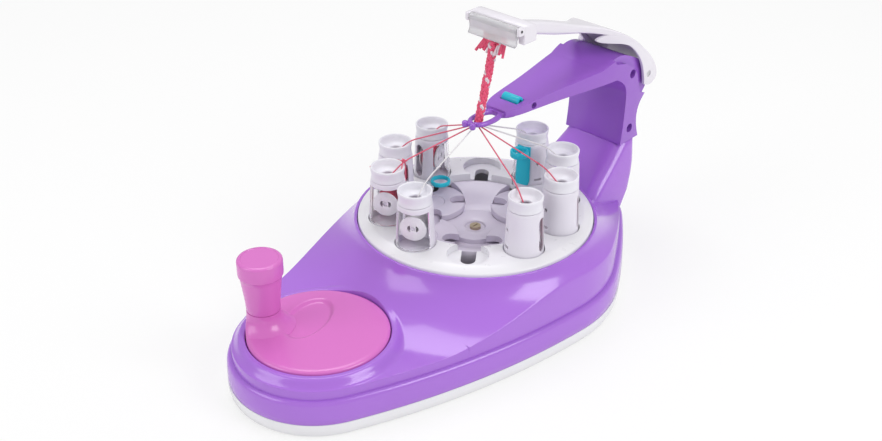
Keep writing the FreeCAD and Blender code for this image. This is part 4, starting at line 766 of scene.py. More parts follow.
for k, (angle, yaw) in enumerate(PODS):
    node = "pod_%d" % (k + 1)
    tube = pod_body(pod_spot(angle), yaw)
    soften(seat(node + "_tube", tube, "carousel", pod_white, [node + "_housing"]), 0.25, 50.0)

# Clear windows that close the pods' fronts: curved panes pressed into the mouths.
glass = {"Base Color": (0.97, 0.965, 0.985, 1), "Transmission Weight": 1.0, "IOR": 1.3}
clear, tree, pane = new_finish("clear_plastic", glass)
haze = wired(tree, "TexNoise", {"Vector": wired(tree, "TexCoord", {}).outputs["Object"], "Scale": 60.0})
feed(tree, pane, {"Roughness": wired(tree, "MapRange", {"Value": haze, "To Min": 0.02, "To Max": 0.12})})
shadow = wired(tree, "LightPath", {}).outputs["Is Shadow Ray"]
lit = wired(tree, "MixShader", {"Fac": shadow, 1: pane, 2: wired(tree, "BsdfTransparent", {})})
feed(tree, tree.nodes["Material Output"], {"Surface": lit})


def window_pane(spot, yaw):
    """Curved pane: a thin rectangle of wall swept round the pod's front and closed at its two edges."""
    turn = np.radians(np.linspace(yaw - 61.5, yaw + 61.5, 40))
    loop = [(-0.06, MOUTH_LOW + 0.15), (-0.06, MOUTH_HIGH - 0.15), (-POD_WALL + 0.05, MOUTH_HIGH - 0.15),
            (-POD_WALL + 0.05, MOUTH_LOW + 0.15)]
    corner = np.array([[pod_radius(z, grow), z] for grow, z in loop])
    loops = [corner * 0 + corner.mean(0)] + [corner] * 40 + [corner * 0 + corner.mean(0)]
    turn = np.concatenate([turn[:1], turn, turn[-1:]])
    return np.stack([np.insert(around(c[:, 0], t) + spot, 2, c[:, 1], 1) for c, t in zip(loops, turn)])


panes = grid_mesh(*[window_pane(pod_spot(angle), yaw) for angle, yaw in PODS])
seat("window_panes", panes, "carousel", clear, ["pod_windows"])

# White caps: a cup with a rounded rim, drawn in above the pod's shoulder, with the
# thread's hole in its dished floor. Threads are led out over the rim.
CAP_WHITE = (0.80, 0.79, 0.85)
CAP_PROFILE = [(4.4, 102.9), (7.5, 102.2), (11.3, 101.35), (11.9, 101.6), (11.85, 102.3), (11.5, 103.6),
               (11.45, 104.8), (11.7, 106.4), (12.0, 108.2), (12.1, 109.3), (12.05, 110.0), (11.8, 110.4),
               (11.4, 110.5), (10.95, 110.4), (10.65, 110.0), (10.35, 108.0), (10.05, 106.2), (9.5, 105.5),
               (8.0, 105.0), (5.2, 104.5), (4.6, 104.3), (4.4, 103.8)]
cap_white = plastic("cap_white", CAP_WHITE, gloss=0.28, scuff=0.1, drift=0.03)
caps = [turned_surface(CAP_PROFILE + CAP_PROFILE[:1], *pod_spot(angle), 96) for angle, yaw in PODS]
seat("pod_cups", grid_mesh(*caps), "carousel", cap_white, ["pod_caps"], crease=60.0)

# White spools on the pods' spindles: two thin flanges on a hollow barrel, each flange
# pierced by two crescents beside the hub.
SPOOL_WHITE = (0.80, 0.78, 0.82)
BARREL = 7.0
spool_white = plastic("spool_white", SPOOL_WHITE, gloss=0.35, scuff=0.1, drift=0.03)


def crescent(inner, outer, low, high, middle, spread, steps=12):
    """Closed piece of a ring: its square section swept through an arc and drawn to a point at both ends."""
    turn = np.radians(np.linspace(middle - spread, middle + spread, steps))
    bulge = np.sqrt(np.clip(1 - np.linspace(-1, 1, steps) ** 2, 0, 1))[:, None]
    mean = (inner + outer) / 2
    r = mean + (np.array([inner, outer, outer, inner]) - mean) * bulge
    z = np.broadcast_to(np.array([low, low, high, high]), r.shape)
    return np.stack([r * np.cos(turn)[:, None], r * np.sin(turn)[:, None], z], -1)


def spool_mesh(spot, yaw):
    """Flanges and barrel turned about the spindle, less the crescents."""
    outline = [(1.66, -6.7), (8.9, -6.7), (9.25, -6.5), (9.3, -6.2), (9.25, -5.9), (8.9, -5.7),
               (BARREL, -5.7), (BARREL, 5.7), (8.9, 5.7), (9.25, 5.9), (9.3, 6.2), (9.25, 6.5), (8.9, 6.7),
               (3.4, 6.7), (3.0, 6.7), (1.66, 6.7)]
    blank = grid_mesh(lying(turned_surface(outline + outline[:1], 0, 0, 72), spot, yaw, SPOOL_Z))
    holes = [grid_mesh(lying(crescent(2.0, 4.0, -7.5, 7.5, side, 48.0), spot, yaw, SPOOL_Z))
             for side in (0.0, 180.0)]
    return carve(blank, holes)


for k, (angle, yaw) in enumerate(PODS):
    node = "pod_%d_spool" % (k + 1)
    reel = spool_mesh(pod_spot(angle), yaw)
    seat(node + "_reel", reel, "spool_%d" % (k + 1), spool_white, [node])

# Thread: twisted strands of pink or white, wound on the spools and led up to the eye.
YARN_PINK = (0.80, 0.06, 0.14)
THREAD_PINK = (0.83, 0.13, 0.22)
YARN_WHITE = (0.80, 0.78, 0.80)


def twist_marks():
    """Node group: the slanting strands of a twisted thread, read from length and turn round it. Its colour
    carries a random fibre tone, painted shade in the grooves between strands and a painted highlight on their
    crowns.
    """
    group, into, out = new_group("twist_marks", {"Strands": 3.0, "Lay": 0.45, "Shade": 0.35}, ["Height"])
    place = wired(group, "UVMap", {})
    place.uv_map = "run"
    parts = wired(group, "SeparateXYZ", {"Vector": place}).outputs
    along = wired(group, "Math", {0: parts["X"], 1: into["Lay"]}, "MULTIPLY")
    slant = wired(group, "Math", {0: parts["Y"], 1: into["Strands"], 2: along}, "MULTIPLY_ADD")
    wave = wired(group, "Math", {0: slant, 1: 0.5}, "PINGPONG")
    fibre_run = wired(group, "Math", {0: parts["X"], 1: 0.7}, "MULTIPLY")
    fibre_turn = wired(group, "Math", {0: slant, 1: 26.0}, "MULTIPLY")
    fibre_place = wired(group, "CombineXYZ", {"X": fibre_run, "Y": fibre_turn})
    fibre = wired(group, "TexNoise", {"Vector": fibre_place, "Scale": 1.0, "Detail": 2.0})
    height = wired(group, "Math", {0: fibre, 1: 0.35, 2: wave}, "MULTIPLY_ADD")
    # The colour follows the strands' relief: painted shade in the grooves and a painted highlight on the
    # crowns, as deep as Shade sets, over the random fibre tone.
    low = wired(group, "Math", {0: 1.0, 1: into["Shade"]}, "SUBTRACT")
    fibre_tone_and_groove_shade = wired(group, "MapRange", {"Value": height, "From Max": 0.75, "To Min": low, "To Max": 1.08})
    tint = wired(group, "VectorMath", {0: into["Colour"], "Scale": fibre_tone_and_groove_shade}, "SCALE")
    feed(group, out, {"Colour": tint, "Height": height})
    return group


TWIST = twist_marks()


def twisted(name, colour, strands=3.0, lay=0.45, shade=0.4):
    """Thread finish: soft fibres with the lay of the twist, painted shade in the grooves between strands, and
    a faint sheen.
    """
    finish, tree, shader = new_finish(name, {"Roughness": 0.62, "Sheen Weight": 0.3, "Sheen Roughness": 0.4})
    settings = {"Colour": (*colour, 1), "Strands": strands, "Lay": lay, "Shade": shade}
    marks = grouped(tree, TWIST, settings).outputs
    relief = wired(tree, "Bump", {"Strength": 0.6, "Distance": 0.0003, "Height": marks["Height"]})
    feed(tree, shader, {"Base Color": marks["Colour"], "Normal": relief})
    return finish


pink_wool = twisted("wound_pink", YARN_PINK, shade=0.45)
white_wool = twisted("wound_white", YARN_WHITE, shade=0.25)
pink_strand = twisted("thread_pink", THREAD_PINK)
white_strand = twisted("thread_white", YARN_WHITE, shade=0.25)


def strand(points, radius, sides=8):
    """Round section carried along a line: at each point the section's two axes are kept square to the run."""
    points = np.asarray(points, float)
    way = np.gradient(points, axis=0)
    way /= np.linalg.norm(way, axis=1)[:, None]
    aside = np.zeros_like(way)
    guess = np.cross(way[0], [0.3, 0.2, 1.0])
    for i, w in enumerate(way):
        guess = guess - w * guess.dot(w)
        guess /= np.linalg.norm(guess)
        aside[i] = guess
    over = np.cross(way, aside)
    turn = full_turn(sides)
    r = np.broadcast_to(np.asarray(radius, float), len(points))[:, None, None]
    round_it = aside[:, None] * np.cos(turn)[:, None] + over[:, None] * np.sin(turn)[:, None]
    return points[:, None] + r * round_it, run_lengths(points)


def strand_mesh(strands):
    """Mesh of closed strands with a map called run: length in millimetres, and turn round the strand."""
    spots, faces, maps, base = [], [], [], 0
    for ring, run in strands:
        rows, sides = ring.shape[:2]
        index = np.arange(rows * sides).reshape(rows, sides) + base
        quads = squares(np.hstack([index, index[:, :1]])).reshape(-1, 4)
        u = np.broadcast_to(run[:, None], (rows, sides + 1))
        v = np.broadcast_to(np.arange(sides + 1) / sides, (rows, sides + 1))
        grid = np.stack([u, v], -1)
        spots.append(ring.reshape(-1, 3))
        faces += quads.tolist() + [index[0, ::-1].tolist(), index[-1].tolist()]
        maps += [squares(grid).reshape(-1, 2), grid[0, :-1], grid[-1, :-1]]
        base += rows * sides
    mesh = bpy.data.meshes.new("strands")
    mesh.from_pydata((np.concatenate(spots) * MM).tolist(), [], faces)
    layer = mesh.uv_layers.new(name="run")
    layer.data.foreach_set("uv", np.concatenate(maps).ravel())
    return faced_out(mesh)


def wound_line(spot, yaw, turns, run, radius, phase, uneven, seed):
    """Line wound round a spool: the angle grows evenly, and radius and place on the axis wander a little."""
    chance = np.random.default_rng(seed)
    t = np.linspace(0, 1, int(turns * 36))
    angle = 2 * math.pi * turns * t + phase
    waves = ((0.31, 0.5), (0.83, 0.35), (1.7, 0.15))
    drift = sum(np.sin(angle * f + chance.uniform(0, 6.3)) * a for f, a in waves)
    z = run * (t - 0.5) + 0.18 * drift
    r = radius + uneven * drift
    rows = np.stack([r * np.cos(angle), r * np.sin(angle), z], -1)[:, None]
    return lying(rows, spot, yaw, SPOOL_Z)[:, 0]


for k, (angle, yaw) in enumerate(PODS):
    spot = pod_spot(angle)
    lines = [wound_line(spot, yaw, 10.0, 9.8, BARREL + 0.55, 0.4 * k, 0.03, k),
             wound_line(spot, yaw, 3.0, -9.0, BARREL + 0.9, 1.0 + k, 0.06, k + 20)]
    wound_mesh = strand_mesh([strand(lines[0], 0.56, 8), strand(lines[1], 0.34, 7)])
    is_white = k in WHITE_PODS
    wool, slot = (white_wool, "white_thread") if is_white else (pink_wool, "pink_thread")
    seat("pod_%d_wound_thread" % (k + 1), wound_mesh, "spool_%d" % (k + 1), wool,
         ["pod_%d_winding" % (k + 1)], crease=80.0)

# Eight taut threads from the caps to the eye. Each leaves its cap's hole, bends over the
# cup's rim and runs straight up. One is tied in a slip knot round its cap, ends hanging.
HOLE_Z = 103.6
BRIM_Z = 112.9
EYE_THREAD_Z = 135.2
TIED_RADIUS = 12.75


def eased_line(corners, radius, step=0.8):
    """Straight runs between corners, each corner cut by a parabola that leaves both runs level with them."""
    corners = np.asarray(corners, float)
    points = [corners[:1]]
    for before, here, after in zip(corners, corners[1:], corners[2:]):
        a, b = before - here, after - here
        reach = min(radius, 0.48 * np.linalg.norm(a), 0.48 * np.linalg.norm(b))
        start, end = here + a / np.linalg.norm(a) * reach, here + b / np.linalg.norm(b) * reach
        t = np.linspace(0, 1, 9)[:, None]
        points.append((1 - t) ** 2 * start + 2 * t * (1 - t) * here + t ** 2 * end)
    points.append(corners[-1:])
    rough = np.concatenate(points)
    run = run_lengths(rough)
    even = np.linspace(0, run[-1], max(4, int(run[-1] / step)))
    return np.stack([np.interp(even, run, rough[:, i]) for i in range(3)], -1)


def thread_corners(angle):
    """Hole in the cap, brim, and the place under the eye, for one pod."""
    spot = pod_spot(angle)
    aim = angle + SEAT_TURN
    points = []
    for radius, z in ((-2.8, HOLE_Z), (-11.7, BRIM_Z)):
        points.append([*(spot + polar(radius, aim)), z])
    points.append([*polar(2.6, aim), EYE_THREAD_Z])
    return points


pink_runs, white_runs = [], []
for k, (angle, yaw) in enumerate(PODS):
    run = strand(eased_line(thread_corners(angle), 9.0), 0.5, 8)
    (white_runs if k in WHITE_PODS else pink_runs).append(run)
knot = np.array(thread_corners(144)[1]) + [0.6, 0.6, -0.4]
rim = pod_spot(144)
ring_turn = np.radians(np.linspace(-28.0, 118.0, 26))
collar_line = np.stack([*(around(TIED_RADIUS, ring_turn) + rim).T,
                        np.interp(np.arange(26), [0, 5, 25], [knot[2], 109.6, 108.0])], -1)
knot_turn = np.linspace(0, 2 * math.pi * 2.2, 40)
bow = knot + np.stack([np.cos(knot_turn), 0.25 * knot_turn - 1.6, np.sin(knot_turn)], -1)
front_end = eased_line(knot + [[0, 0, 0], [-3.4, -1.5, -0.4], [-6.0, -3.6, -3.4], [-7.6, -4.4, -6.2]], 3.0)
back_end = eased_line(knot + [[0, 0, 0], [2.2, 1.2, -1.0], [2.9, 1.6, -6.0], [2.6, 1.4, -17.0]], 3.0)
tied = ((collar_line, 0.45), (bow, 0.5), (front_end, 0.42), (back_end, 0.5))
pink_runs += [strand(line, r, 7) for line, r in tied]
for colour, runs, finish in (("pink", pink_runs, pink_strand), ("white", white_runs, white_strand)):
    seat("taut_%s_threads" % colour, strand_mesh(runs), "carousel", finish,
         [colour + "_threads"], crease=80.0)

# Turquoise tension loops: a ring clipped to the foot of one rear pod, and a ring with a
# strap up the side of another.
TURQUOISE = (0.012, 0.52, 0.66)
turquoise = plastic("turquoise_gloss", TURQUOISE, gloss=0.25, scuff=0.1, drift=0.05)


def loop_ring(angle, way, low, high, outer):
    """Ring with rounded edges, out from a pod's wall, less what the wall takes."""
    middle = pod_spot(angle) + polar(12.8 + outer, way)
    soft, inner = 0.7, outer - 1.8
    section = [(inner + soft, low), (outer - soft, low), (outer - soft / 3, low + soft / 3),
               (outer, low + soft), (outer, high - soft), (outer - soft / 3, high - soft / 3),
               (outer - soft, high), (inner + soft, high), (inner + soft / 3, high - soft / 3),
               (inner, high - soft), (inner, low + soft), (inner + soft / 3, low + soft / 3)]
    ring = grid_mesh(turned_surface(section + section[:1], *middle, 64))
    wall = [(0, 60), (pod_radius(60) + 0.1, 60), (pod_radius(105) + 0.1, 105), (0, 105)]
    return carve(ring, [grid_mesh(turned_surface(wall, *pod_spot(angle), 64))])


def strap_surface(angle, way, low, high, half_angle=24.0):
    """Thin band that follows the pod's wall, its sides drawn in at both ends."""
    z = np.concatenate([[low], np.linspace(low, high, 24), [high]])
    turn = np.linspace(-1, 1, 15)
    reach = half_angle * (1 - 0.18 * np.exp(-((z - low) / 2.0) ** 2))
    angles = np.radians(way + reach[:, None] * turn[None])
    lift = np.where(np.abs(turn) > 0.9, 1.0, 1.5)[None]
    out_r, in_r = pod_radius(z)[:, None] + lift, pod_radius(z)[:, None] + 0.12 + 0 * lift
    radius = np.concatenate([out_r, in_r[:, ::-1]], 1)
    turn_all = np.concatenate([angles, angles[:, ::-1]], 1)
    spot = pod_spot(angle)
    ring = np.stack([spot[0] + radius * np.cos(turn_all), spot[1] + radius * np.sin(turn_all),
                     np.broadcast_to(z[:, None], radius.shape)], -1)
    for end in (0, -1):
        ring[end] = ring[end].mean(0)
    return ring


seat("foot_loop", loop_ring(72, -118, 69.8, 73.2, 7.4), "carousel", turquoise, ["loop_left"])
strapped = merged(loop_ring(0, -168, 95.5, 100.5, 6.8), grid_mesh(strap_surface(0, -168, 69.9, 100.5)))
seat("strap_loop", strapped, "carousel", turquoise, ["loop_right"])

# Purple arm: two glossy halves that meet on the middle plane, with the eye moulded at
# its tip, a pocket for the roller in its top and deep screw holes in the near side.
ARM_PURPLE = (0.31, 0.105, 0.58)
arm_gloss = plastic("arm_purple_gloss", ARM_PURPLE, gloss=0.2, scuff=0.08, drift=0.05, coat=0.25)
HALF_WIDTHS = ((19, 8.5), (25, 11.8), (38, 14.5), (66, 17.6), (96, 22.4), (124, 26.1), (150, 26.5),
               (180, 25.5))
UNDER_CURVE = ((128, 136), (139, 127), (141, 112), (140, 95), (138, 78.2))
HEEL_CURVE = ((161.5, 78.2), (158.2, 89), (157.6, 98), (160.2, 106), (165.6, 112), (170.8, 118.5),
              (173, 127.5))
ELBOW_CURVE = ((173, 127.5), (165.5, 138), (155, 145), (145, 149.8), (134, 152.8), (123, 151.6), (112, 148.2))
CHEEK_RECESS = ((112, 180), (126, 149), (138, 146.2), (148, 140.2), (154.5, 132.5), (157, 123),
                (161, 115.5), (168, 112.5), (184, 113), (184, 180))
PIVOT = (168, 129)
PIN_BORE = 2.56
SCREW_HOLES = ((44, 140.4, 2.4, 10.0), (147.7, 135, 3.6, 17.0), (149, 89, 3.6, 17.0))


def smooth_curve(points, count):
    """Natural cubic spline through points: level second derivatives at both ends, even in chord length."""
    points = np.asarray(points, float)
    knots = run_lengths(points)
    h = np.diff(knots)
    size = len(points)
    a, b = np.eye(size), np.zeros_like(points)
    for i in range(1, size - 1):
        a[i, i - 1:i + 2] = h[i - 1], 2 * (h[i - 1] + h[i]), h[i]
        b[i] = 6 * ((points[i + 1] - points[i]) / h[i] - (points[i] - points[i - 1]) / h[i - 1])
    bend = np.linalg.solve(a, b)
    t = np.linspace(0, knots[-1], count)
    k = np.clip(np.searchsorted(knots, t, side="right") - 1, 0, size - 2)
    u, v, w = (t - knots[k])[:, None], (knots[k + 1] - t)[:, None], h[k][:, None]
    return (bend[k] * v ** 3 + bend[k + 1] * u ** 3) / (6 * w) + (points[k] / w - bend[k] * w / 6) * v + (
        points[k + 1] / w - bend[k + 1] * w / 6) * u


def plate(outline, low, high, axis=1):
    """Flat plate: an outline of two coordinates given a thickness along the third axis."""
    outline = np.asarray(outline, float)
    count = len(outline)
    spots = np.concatenate([np.insert(outline, axis, low, 1), np.insert(outline, axis, high, 1)])
    ring = np.arange(count)
    sides = np.stack([ring, np.roll(ring, -1), np.roll(ring, -1) + count, ring + count], -1).tolist()
    mesh = bpy.data.meshes.new("plate")
    mesh.from_pydata((spots * MM).tolist(), [], sides + [ring[::-1].tolist(), (ring + count).tolist()])
    return faced_out(mesh)


def common(mesh, other):
    """What two closed meshes share."""
    return carve(mesh, [other], "INTERSECT")


def rounded_edges(mesh, width, segments=3, angle=28.0):
    """The mesh with its edges rounded over."""
    blank = linked("blank", mesh)
    soften(blank, width, angle, segments)
    return finished(blank)


def half_plan(widths, grow=0.0, count=60):
    """Plan outline, the same on both sides, through (place along X, half width) points."""
    side = smooth_curve(widths, count) + [0, grow]
    return np.concatenate([side, side[::-1] * [1, -1]])


def crosswise(x, z, radius, near, far, steps=28):
    """Round bar along Y."""
    turn = full_turn(steps)
    return plate(around(radius, turn) + [x, z], near, far)


def box(low, high):
    """Block between two corners."""
    (x, y, z), (far_x, far_y, far_z) = low, high
    return plate([(x, z), (far_x, z), (far_x, far_z), (x, far_z)], y, far_y)


side_line = np.concatenate([[(20, 137.4)], smooth_curve(UNDER_CURVE, 30), smooth_curve(HEEL_CURVE, 30)[:-1],
                            smooth_curve(ELBOW_CURVE, 40), [(45, 144), (20, 141.8)]])
arm_solid = common(plate(side_line, -32, 32), plate(half_plan(HALF_WIDTHS), 60, 160, axis=2))
arm_solid = rounded_edges(arm_solid, 2.4, 5)
arm_cuts = [plate(CHEEK_RECESS, 23.4, 40), plate(CHEEK_RECESS, -40, -23.4),
            box((32.6, -8.5, 138), (41.4, 7.5, 160)), crosswise(*PIVOT, PIN_BORE, -50, 50)]
arm_cuts += [crosswise(x, z, radius, -60, -start) for x, z, radius, start in SCREW_HOLES]
arm_solid = carve(arm_solid, arm_cuts)


def arm_half(side):
    """One half of the arm, closed at the middle plane."""
    work = bmesh.new()
    work.from_mesh(arm_solid)
    every = work.verts[:] + work.edges[:] + work.faces[:]
    cut = bmesh.ops.bisect_plane(work, geom=every, plane_no=(0, side, 0), clear_inner=True)
    bmesh.ops.holes_fill(work, edges=[e for e in cut["geom_cut"] if isinstance(e, bmesh.types.BMEdge)])
    bmesh.ops.recalc_face_normals(work, faces=work.faces)
    mesh = bpy.data.meshes.new("half")
    work.to_mesh(mesh)
    work.free()
    return mesh


seat("arm_near_half", arm_half(-1.0), "base", arm_gloss, ["arm_near_shell"], crease=30.0)
seat("arm_far_half", arm_half(1.0), "base", arm_gloss, ["arm_far_shell"], crease=30.0)

# Thread eye at the arm's tip, moulded in the same purple: an oval bar round the braid,
# ending in two knuckles with a slit between them.
EYE_X = 8.0
EYE_Z = 138.0


def eye_bar():
    """Round-edged bar carried round an oval, its two ends turned out into the knuckles."""
    turn = np.radians(np.linspace(168.0, -168.0, 72))
    across = 7.5 * np.sin(turn) * (1 + 0.08 * np.cos(2 * turn))
    line = np.stack([EYE_X + 12.6 * np.cos(turn), across, np.full(72, EYE_Z)], -1)
    out = np.array([[-7.0, 2.6, EYE_Z + 0.1], [-8.6, 3.4, EYE_Z + 0.3]])
    return np.concatenate([out[::-1], line, out * [1, -1, 1]])


eye_line = smooth_curve(eye_bar(), 130)
eye_radius = 1.8 + 0.3 * np.clip((eye_line[:, 0] - 6.0) / 10.0, 0, 1)
KNUCKLE = ((0, -1.7), (1.5, -1.7), (2.1, -1.1), (2.2, 0), (2.2, 1.8), (1.8, 2.5), (1.0, 2.8), (0, 2.9))
knuckles = [turned_surface(KNUCKLE, -8.4, y, 32) + [0, 0, EYE_Z] for y in (3.5, -3.5)]
eye_ring = strand(eye_line, eye_radius, 16)[0]
ends = [eye_ring[i] * 0 + eye_ring[i].mean(0) for i in (0, -1)]
eye_tube = np.concatenate([ends[:1], eye_ring, ends[1:]])
eye_root = common(plate(half_plan(((18.6, 6.0), (22, 9.2), (28, 11.4))), EYE_Z - 1.7, EYE_Z + 2.2, axis=2),
                  plate(half_plan(((18, 20), (30, 20))), 0, 200, axis=2))
eye_mesh = merged(grid_mesh(eye_tube, *knuckles), rounded_edges(eye_root, 0.6, 2))
seat("eye_loop", eye_mesh, "base", arm_gloss, ["thread_eye"], crease=60.0)

# Turquoise roller in the arm's top, turning on a pin across its pocket.
ROLLER_SPOT = (37.0, 143.2)
ROLLER_LINE = ((1.66, -8.0), (3.1, -8.0), (3.5, -7.6), (3.6, -7.2), (3.6, 6.2), (3.5, 6.6), (3.1, 7.0),
               (1.66, 7.0))


def crosswise_turned(profile, x, z, segments=48):
    """Profile of (radius, place along Y) turned about a bar along Y."""
    r, y = np.array(profile, float).T
    turn = full_turn(segments)
    return np.stack([x + np.outer(r, np.cos(turn)), np.outer(y, np.ones(segments)),
                     z + np.outer(r, np.sin(turn))], -1)


barrel = grid_mesh(crosswise_turned(ROLLER_LINE + ROLLER_LINE[:1], *ROLLER_SPOT))
seat("roller_barrel", barrel, "roller", turquoise, ["thread_roller"])

# White take-up arm: one moulding whose hood straddles the elbow on two cheeks, narrows
# to a neck and ends in the back of the clip.
TAKE_UP_WHITE = (0.80, 0.77, 0.83)
take_up_white = plastic("take_up_white", TAKE_UP_WHITE, gloss=0.2, scuff=0.08, drift=0.03, coat=0.15)
BACKBONE = ((25.5, 201.4), (40, 196.8), (60, 191.0), (84, 183.6), (104, 178.0), (124, 172.9), (140, 165.2),
            (155.6, 153.6), (168.6, 141.8), (176.9, 130.1), (178.4, 123.5))
BACKBONE_HALF = (6.0, 5.6, 5.8, 6.2, 8.4, 17.2, 25.0, 27.1, 27.3, 27.3, 27.3)
BACKBONE_THICK = (9.5, 9.5, 9.5, 9.0, 6.6, 5.4, 5.2, 5.2, 3.6, 2.6, 2.4)
CHEEK_LINE = ((163.0, 121.6), (170.5, 119.4), (178.2, 123.6), (177.6, 131.0), (173.0, 138.5),
              (163.0, 149.4), (152.0, 157.2), (136.0, 166.6), (122.0, 170.2), (117.0, 167.6),
              (130.0, 163.2), (141.5, 159.4), (149.0, 152.6), (156.0, 143.6), (160.4, 134.0))


def backbone_surface():
    """Rounded sections square to a smooth line in the middle plane, their width and thickness splines too."""
    count = 90
    whole = smooth_curve(np.column_stack([BACKBONE, BACKBONE_HALF, BACKBONE_THICK]), count)
    line, half, thick = whole[:, :2], whole[:, 2], whole[:, 3] / 2
    way = np.gradient(line, axis=0)
    way /= np.linalg.norm(way, axis=1)[:, None]
    over = np.stack([-way[:, 1], way[:, 0]], -1)
    over *= np.sign(over[:1, 1:])
    turn = full_turn(64)
    power = np.clip(0.42 + 0.4 * (10 - half) / 10, 0.24, 0.75)[:, None]
    across = np.sign(np.cos(turn)) * np.abs(np.cos(turn)) ** power * half[:, None]
    crown = 1 - 0.10 * (across / half[:, None]) ** 2 * np.clip(half / 27, 0, 1)[:, None]
    lift = np.sign(np.sin(turn)) * np.abs(np.sin(turn)) ** power * thick[:, None] * crown
    spots = np.stack([line[:, :1] + over[:, :1] * lift, across, line[:, 1:] + over[:, 1:] * lift], -1)
    closed = np.concatenate([spots[:1].mean(1, keepdims=True) + 0 * spots[:1], spots,
                             spots[-1:].mean(1, keepdims=True) + 0 * spots[-1:]])
    return closed


cheek_outline = smooth_curve(CHEEK_LINE + CHEEK_LINE[:1], 120)[:-1]
HOOD_WIDTHS = ((92, 5.8), (104, 7.5), (118, 14), (132, 22.5), (146, 27.1), (158, 27.5), (190, 27.5))
cheek_solid = carve(common(plate(cheek_outline, -40, 40), plate(half_plan(HOOD_WIDTHS), 90, 210, axis=2)),
                    [plate(half_plan(HOOD_WIDTHS, -2.2), 80, 220, axis=2)])
cheek_solid = rounded_edges(cheek_solid, 0.8, 3, 40.0)
cheek_solid = carve(cheek_solid, [crosswise(*PIVOT, PIN_BORE, -50, 50)])
SIDE_DISC_SPOT = (164.0, 143.0)
SIDE_DISC = ((0, 27.6), (7.4, 27.6), (7.6, 27.9), (7.6, 30.8), (8.0, 31.4), (8.8, 31.5), (10.4, 31.4),
             (11.0, 30.8), (11.0, 26.6), (0, 26.6))
side_disc = crosswise_turned(SIDE_DISC, *SIDE_DISC_SPOT, 72)
HOLDER_FRONT = ((19.0, 196.4), (19.4, 196.0), (31.4, 196.0), (32.0, 196.8), (32.0, 205.5), (30.6, 208.2),
                (27.0, 209.0), (20.0, 209.0), (19.0, 208.2))
holder = rounded_edges(plate(HOLDER_FRONT, -24.5, 24.5), 1.5, 4, 50.0)
holder = carve(holder, [box((17, -19.5, 190), (25.5, 19.5, 202.5))])
ears = [rounded_edges(box((13.5, y - 1.5, 203.0), (19.6, y + 1.5, 209.0)), 0.9, 3) for y in (23.0, -23.0)]
take_up = merged(grid_mesh(backbone_surface()), cheek_solid, grid_mesh(side_disc), holder, *ears)
seat("take_up_moulding", take_up, "take_up", take_up_white, ["take_up_arm"], crease=40.0)

# Clear jaw of the clip: a pressed plate with a turned-out lip, hinged on its pin.
JAW_LINE = ((16.4, 206.4), (14.6, 206.4), (14.0, 204.5), (14.1, 201.0), (14.3, 198.4), (12.9, 195.4),
            (13.0, 194.6), (14.4, 194.7), (16.2, 197.4), (16.8, 200.0), (17.0, 203.0))
frosted = new_finish("frosted_plastic", {"Base Color": (0.93, 0.92, 0.95, 1), "Transmission Weight": 0.55,
                                         "Roughness": 0.22, "IOR": 1.4})[0]
jaw_plate = rounded_edges(plate(smooth_curve(JAW_LINE + JAW_LINE[:1], 60)[:-1], -21.1, 21.1), 0.4, 2, 50.0)
JAW_PIN_SPOT = (16.0, 206.5)
JAW_BAR = ((1.06, -21.1), (2.4, -21.1), (2.6, -20.9), (2.6, 20.9), (2.4, 21.1), (1.06, 21.1), (1.06, -21.1))
jaw_bar = grid_mesh(crosswise_turned(JAW_BAR, *JAW_PIN_SPOT, 32))
seat("clip_jaw_plate", merged(jaw_plate, jaw_bar), "jaw", frosted, ["clip_jaw"])

# Finished braid: eight thick strands, half of them winding each way and passing over and
# under each other, from the eye up to the clip, where they spread and are cut off.
BRAID_LOW = np.array([1.5, 0.0, 137.0])
BRAID_HIGH = np.array([17.0, 0.0, 193.4])
BRAID_LEAD = 19.0
BRAID_PINK = (0.86, 0.09, 0.20)
BRAID_WHITE = (0.80, 0.70, 0.76)
braid_pink = twisted("braid_pink", BRAID_PINK, strands=4.0, lay=0.35, shade=0.3)
braid_white = twisted("braid_white", BRAID_WHITE, strands=4.0, lay=0.35, shade=0.3)


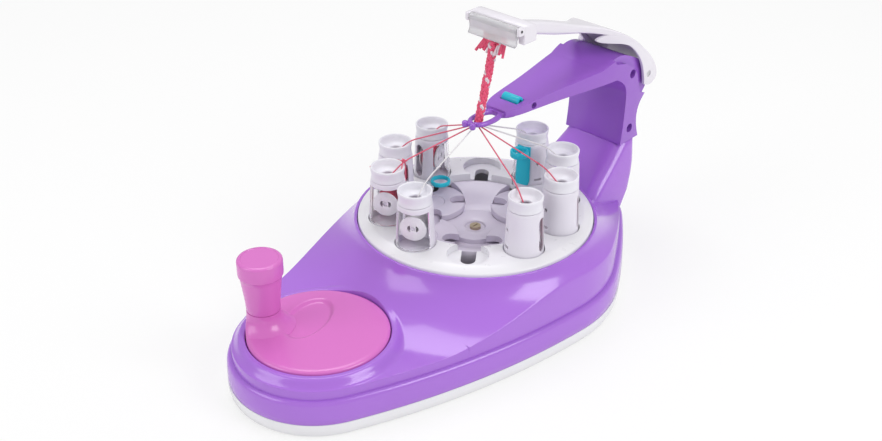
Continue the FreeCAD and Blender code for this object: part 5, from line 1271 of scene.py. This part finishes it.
def braid_strand(index, clockwise):
    """Helix about the braid's line. Its radius swings out and in four times a turn: over one, under one."""
    chance = np.random.default_rng(40 + index + 10 * clockwise)
    climb = BRAID_HIGH - BRAID_LOW
    length = np.linalg.norm(climb)
    t = np.linspace(0, 1, 150)
    turn = 2 * math.pi * t * length / BRAID_LEAD
    sense = 1 if clockwise else -1
    waves = ((3, 0.12), (7, 0.10), (13, 0.06))
    noise = sum(np.sin(t * f * 6.3 + chance.uniform(0, 6.3)) * a for f, a in waves)
    spread = 1 + 0.5 * smooth_step((t - 0.86) / 0.14)
    radius = (1.55 + sense * 0.5 * np.cos(4 * turn) + noise) * spread
    angle = sense * turn + index * math.pi / 2 + (0.25 if clockwise else 0) + 0.25 * noise
    way = climb / length
    aside, over = np.array([way[2], 0, -way[0]]), np.array([0, 1.0, 0])
    line = BRAID_LOW + climb * t[:, None] + around(radius, angle) @ np.stack([aside, over])
    line[:, 1] *= 1 + 0.5 * smooth_step((t - 0.86) / 0.14)
    thick = 1.2 + 0.10 * np.sin(t * 37 + index) + 0.08 * noise
    return line, thick


pink_plait, white_plait = [], []
for clockwise in (0, 1):
    for index in range(4):
        line, thick = braid_strand(index, clockwise)
        is_white = (index, clockwise) == (1, 0)
        (white_plait if is_white else pink_plait).append(strand(line, thick, 10))
chance = np.random.default_rng(7)
for k, place in enumerate(np.linspace(-16.0, 16.0, 15)):
    top = np.array([18.0, place * 0.55, 198.5])
    lean = 0.22 * place
    reach, skew, drop = chance.uniform(0, 1.2), chance.uniform(-0.5, 0.5), chance.uniform(0, 3.5)
    low = top + [-4.6 - reach, 1.0 + lean + skew, -11.0 - drop]
    line = eased_line([top, top + [0, 0.1, -5.2], low], 2.5, 0.7)
    wide = 0.95 + chance.uniform(-0.12, 0.2)
    (white_plait if k in (3, 4, 9) else pink_plait).append(strand(line, wide, 9))
pink_braid, white_braid = strand_mesh(pink_plait), strand_mesh(white_plait)
seat("braid_pink_strands", pink_braid, "base", braid_pink, ["braid"], crease=80.0)
seat("braid_white_strands", white_braid, "base", braid_white, crease=80.0)
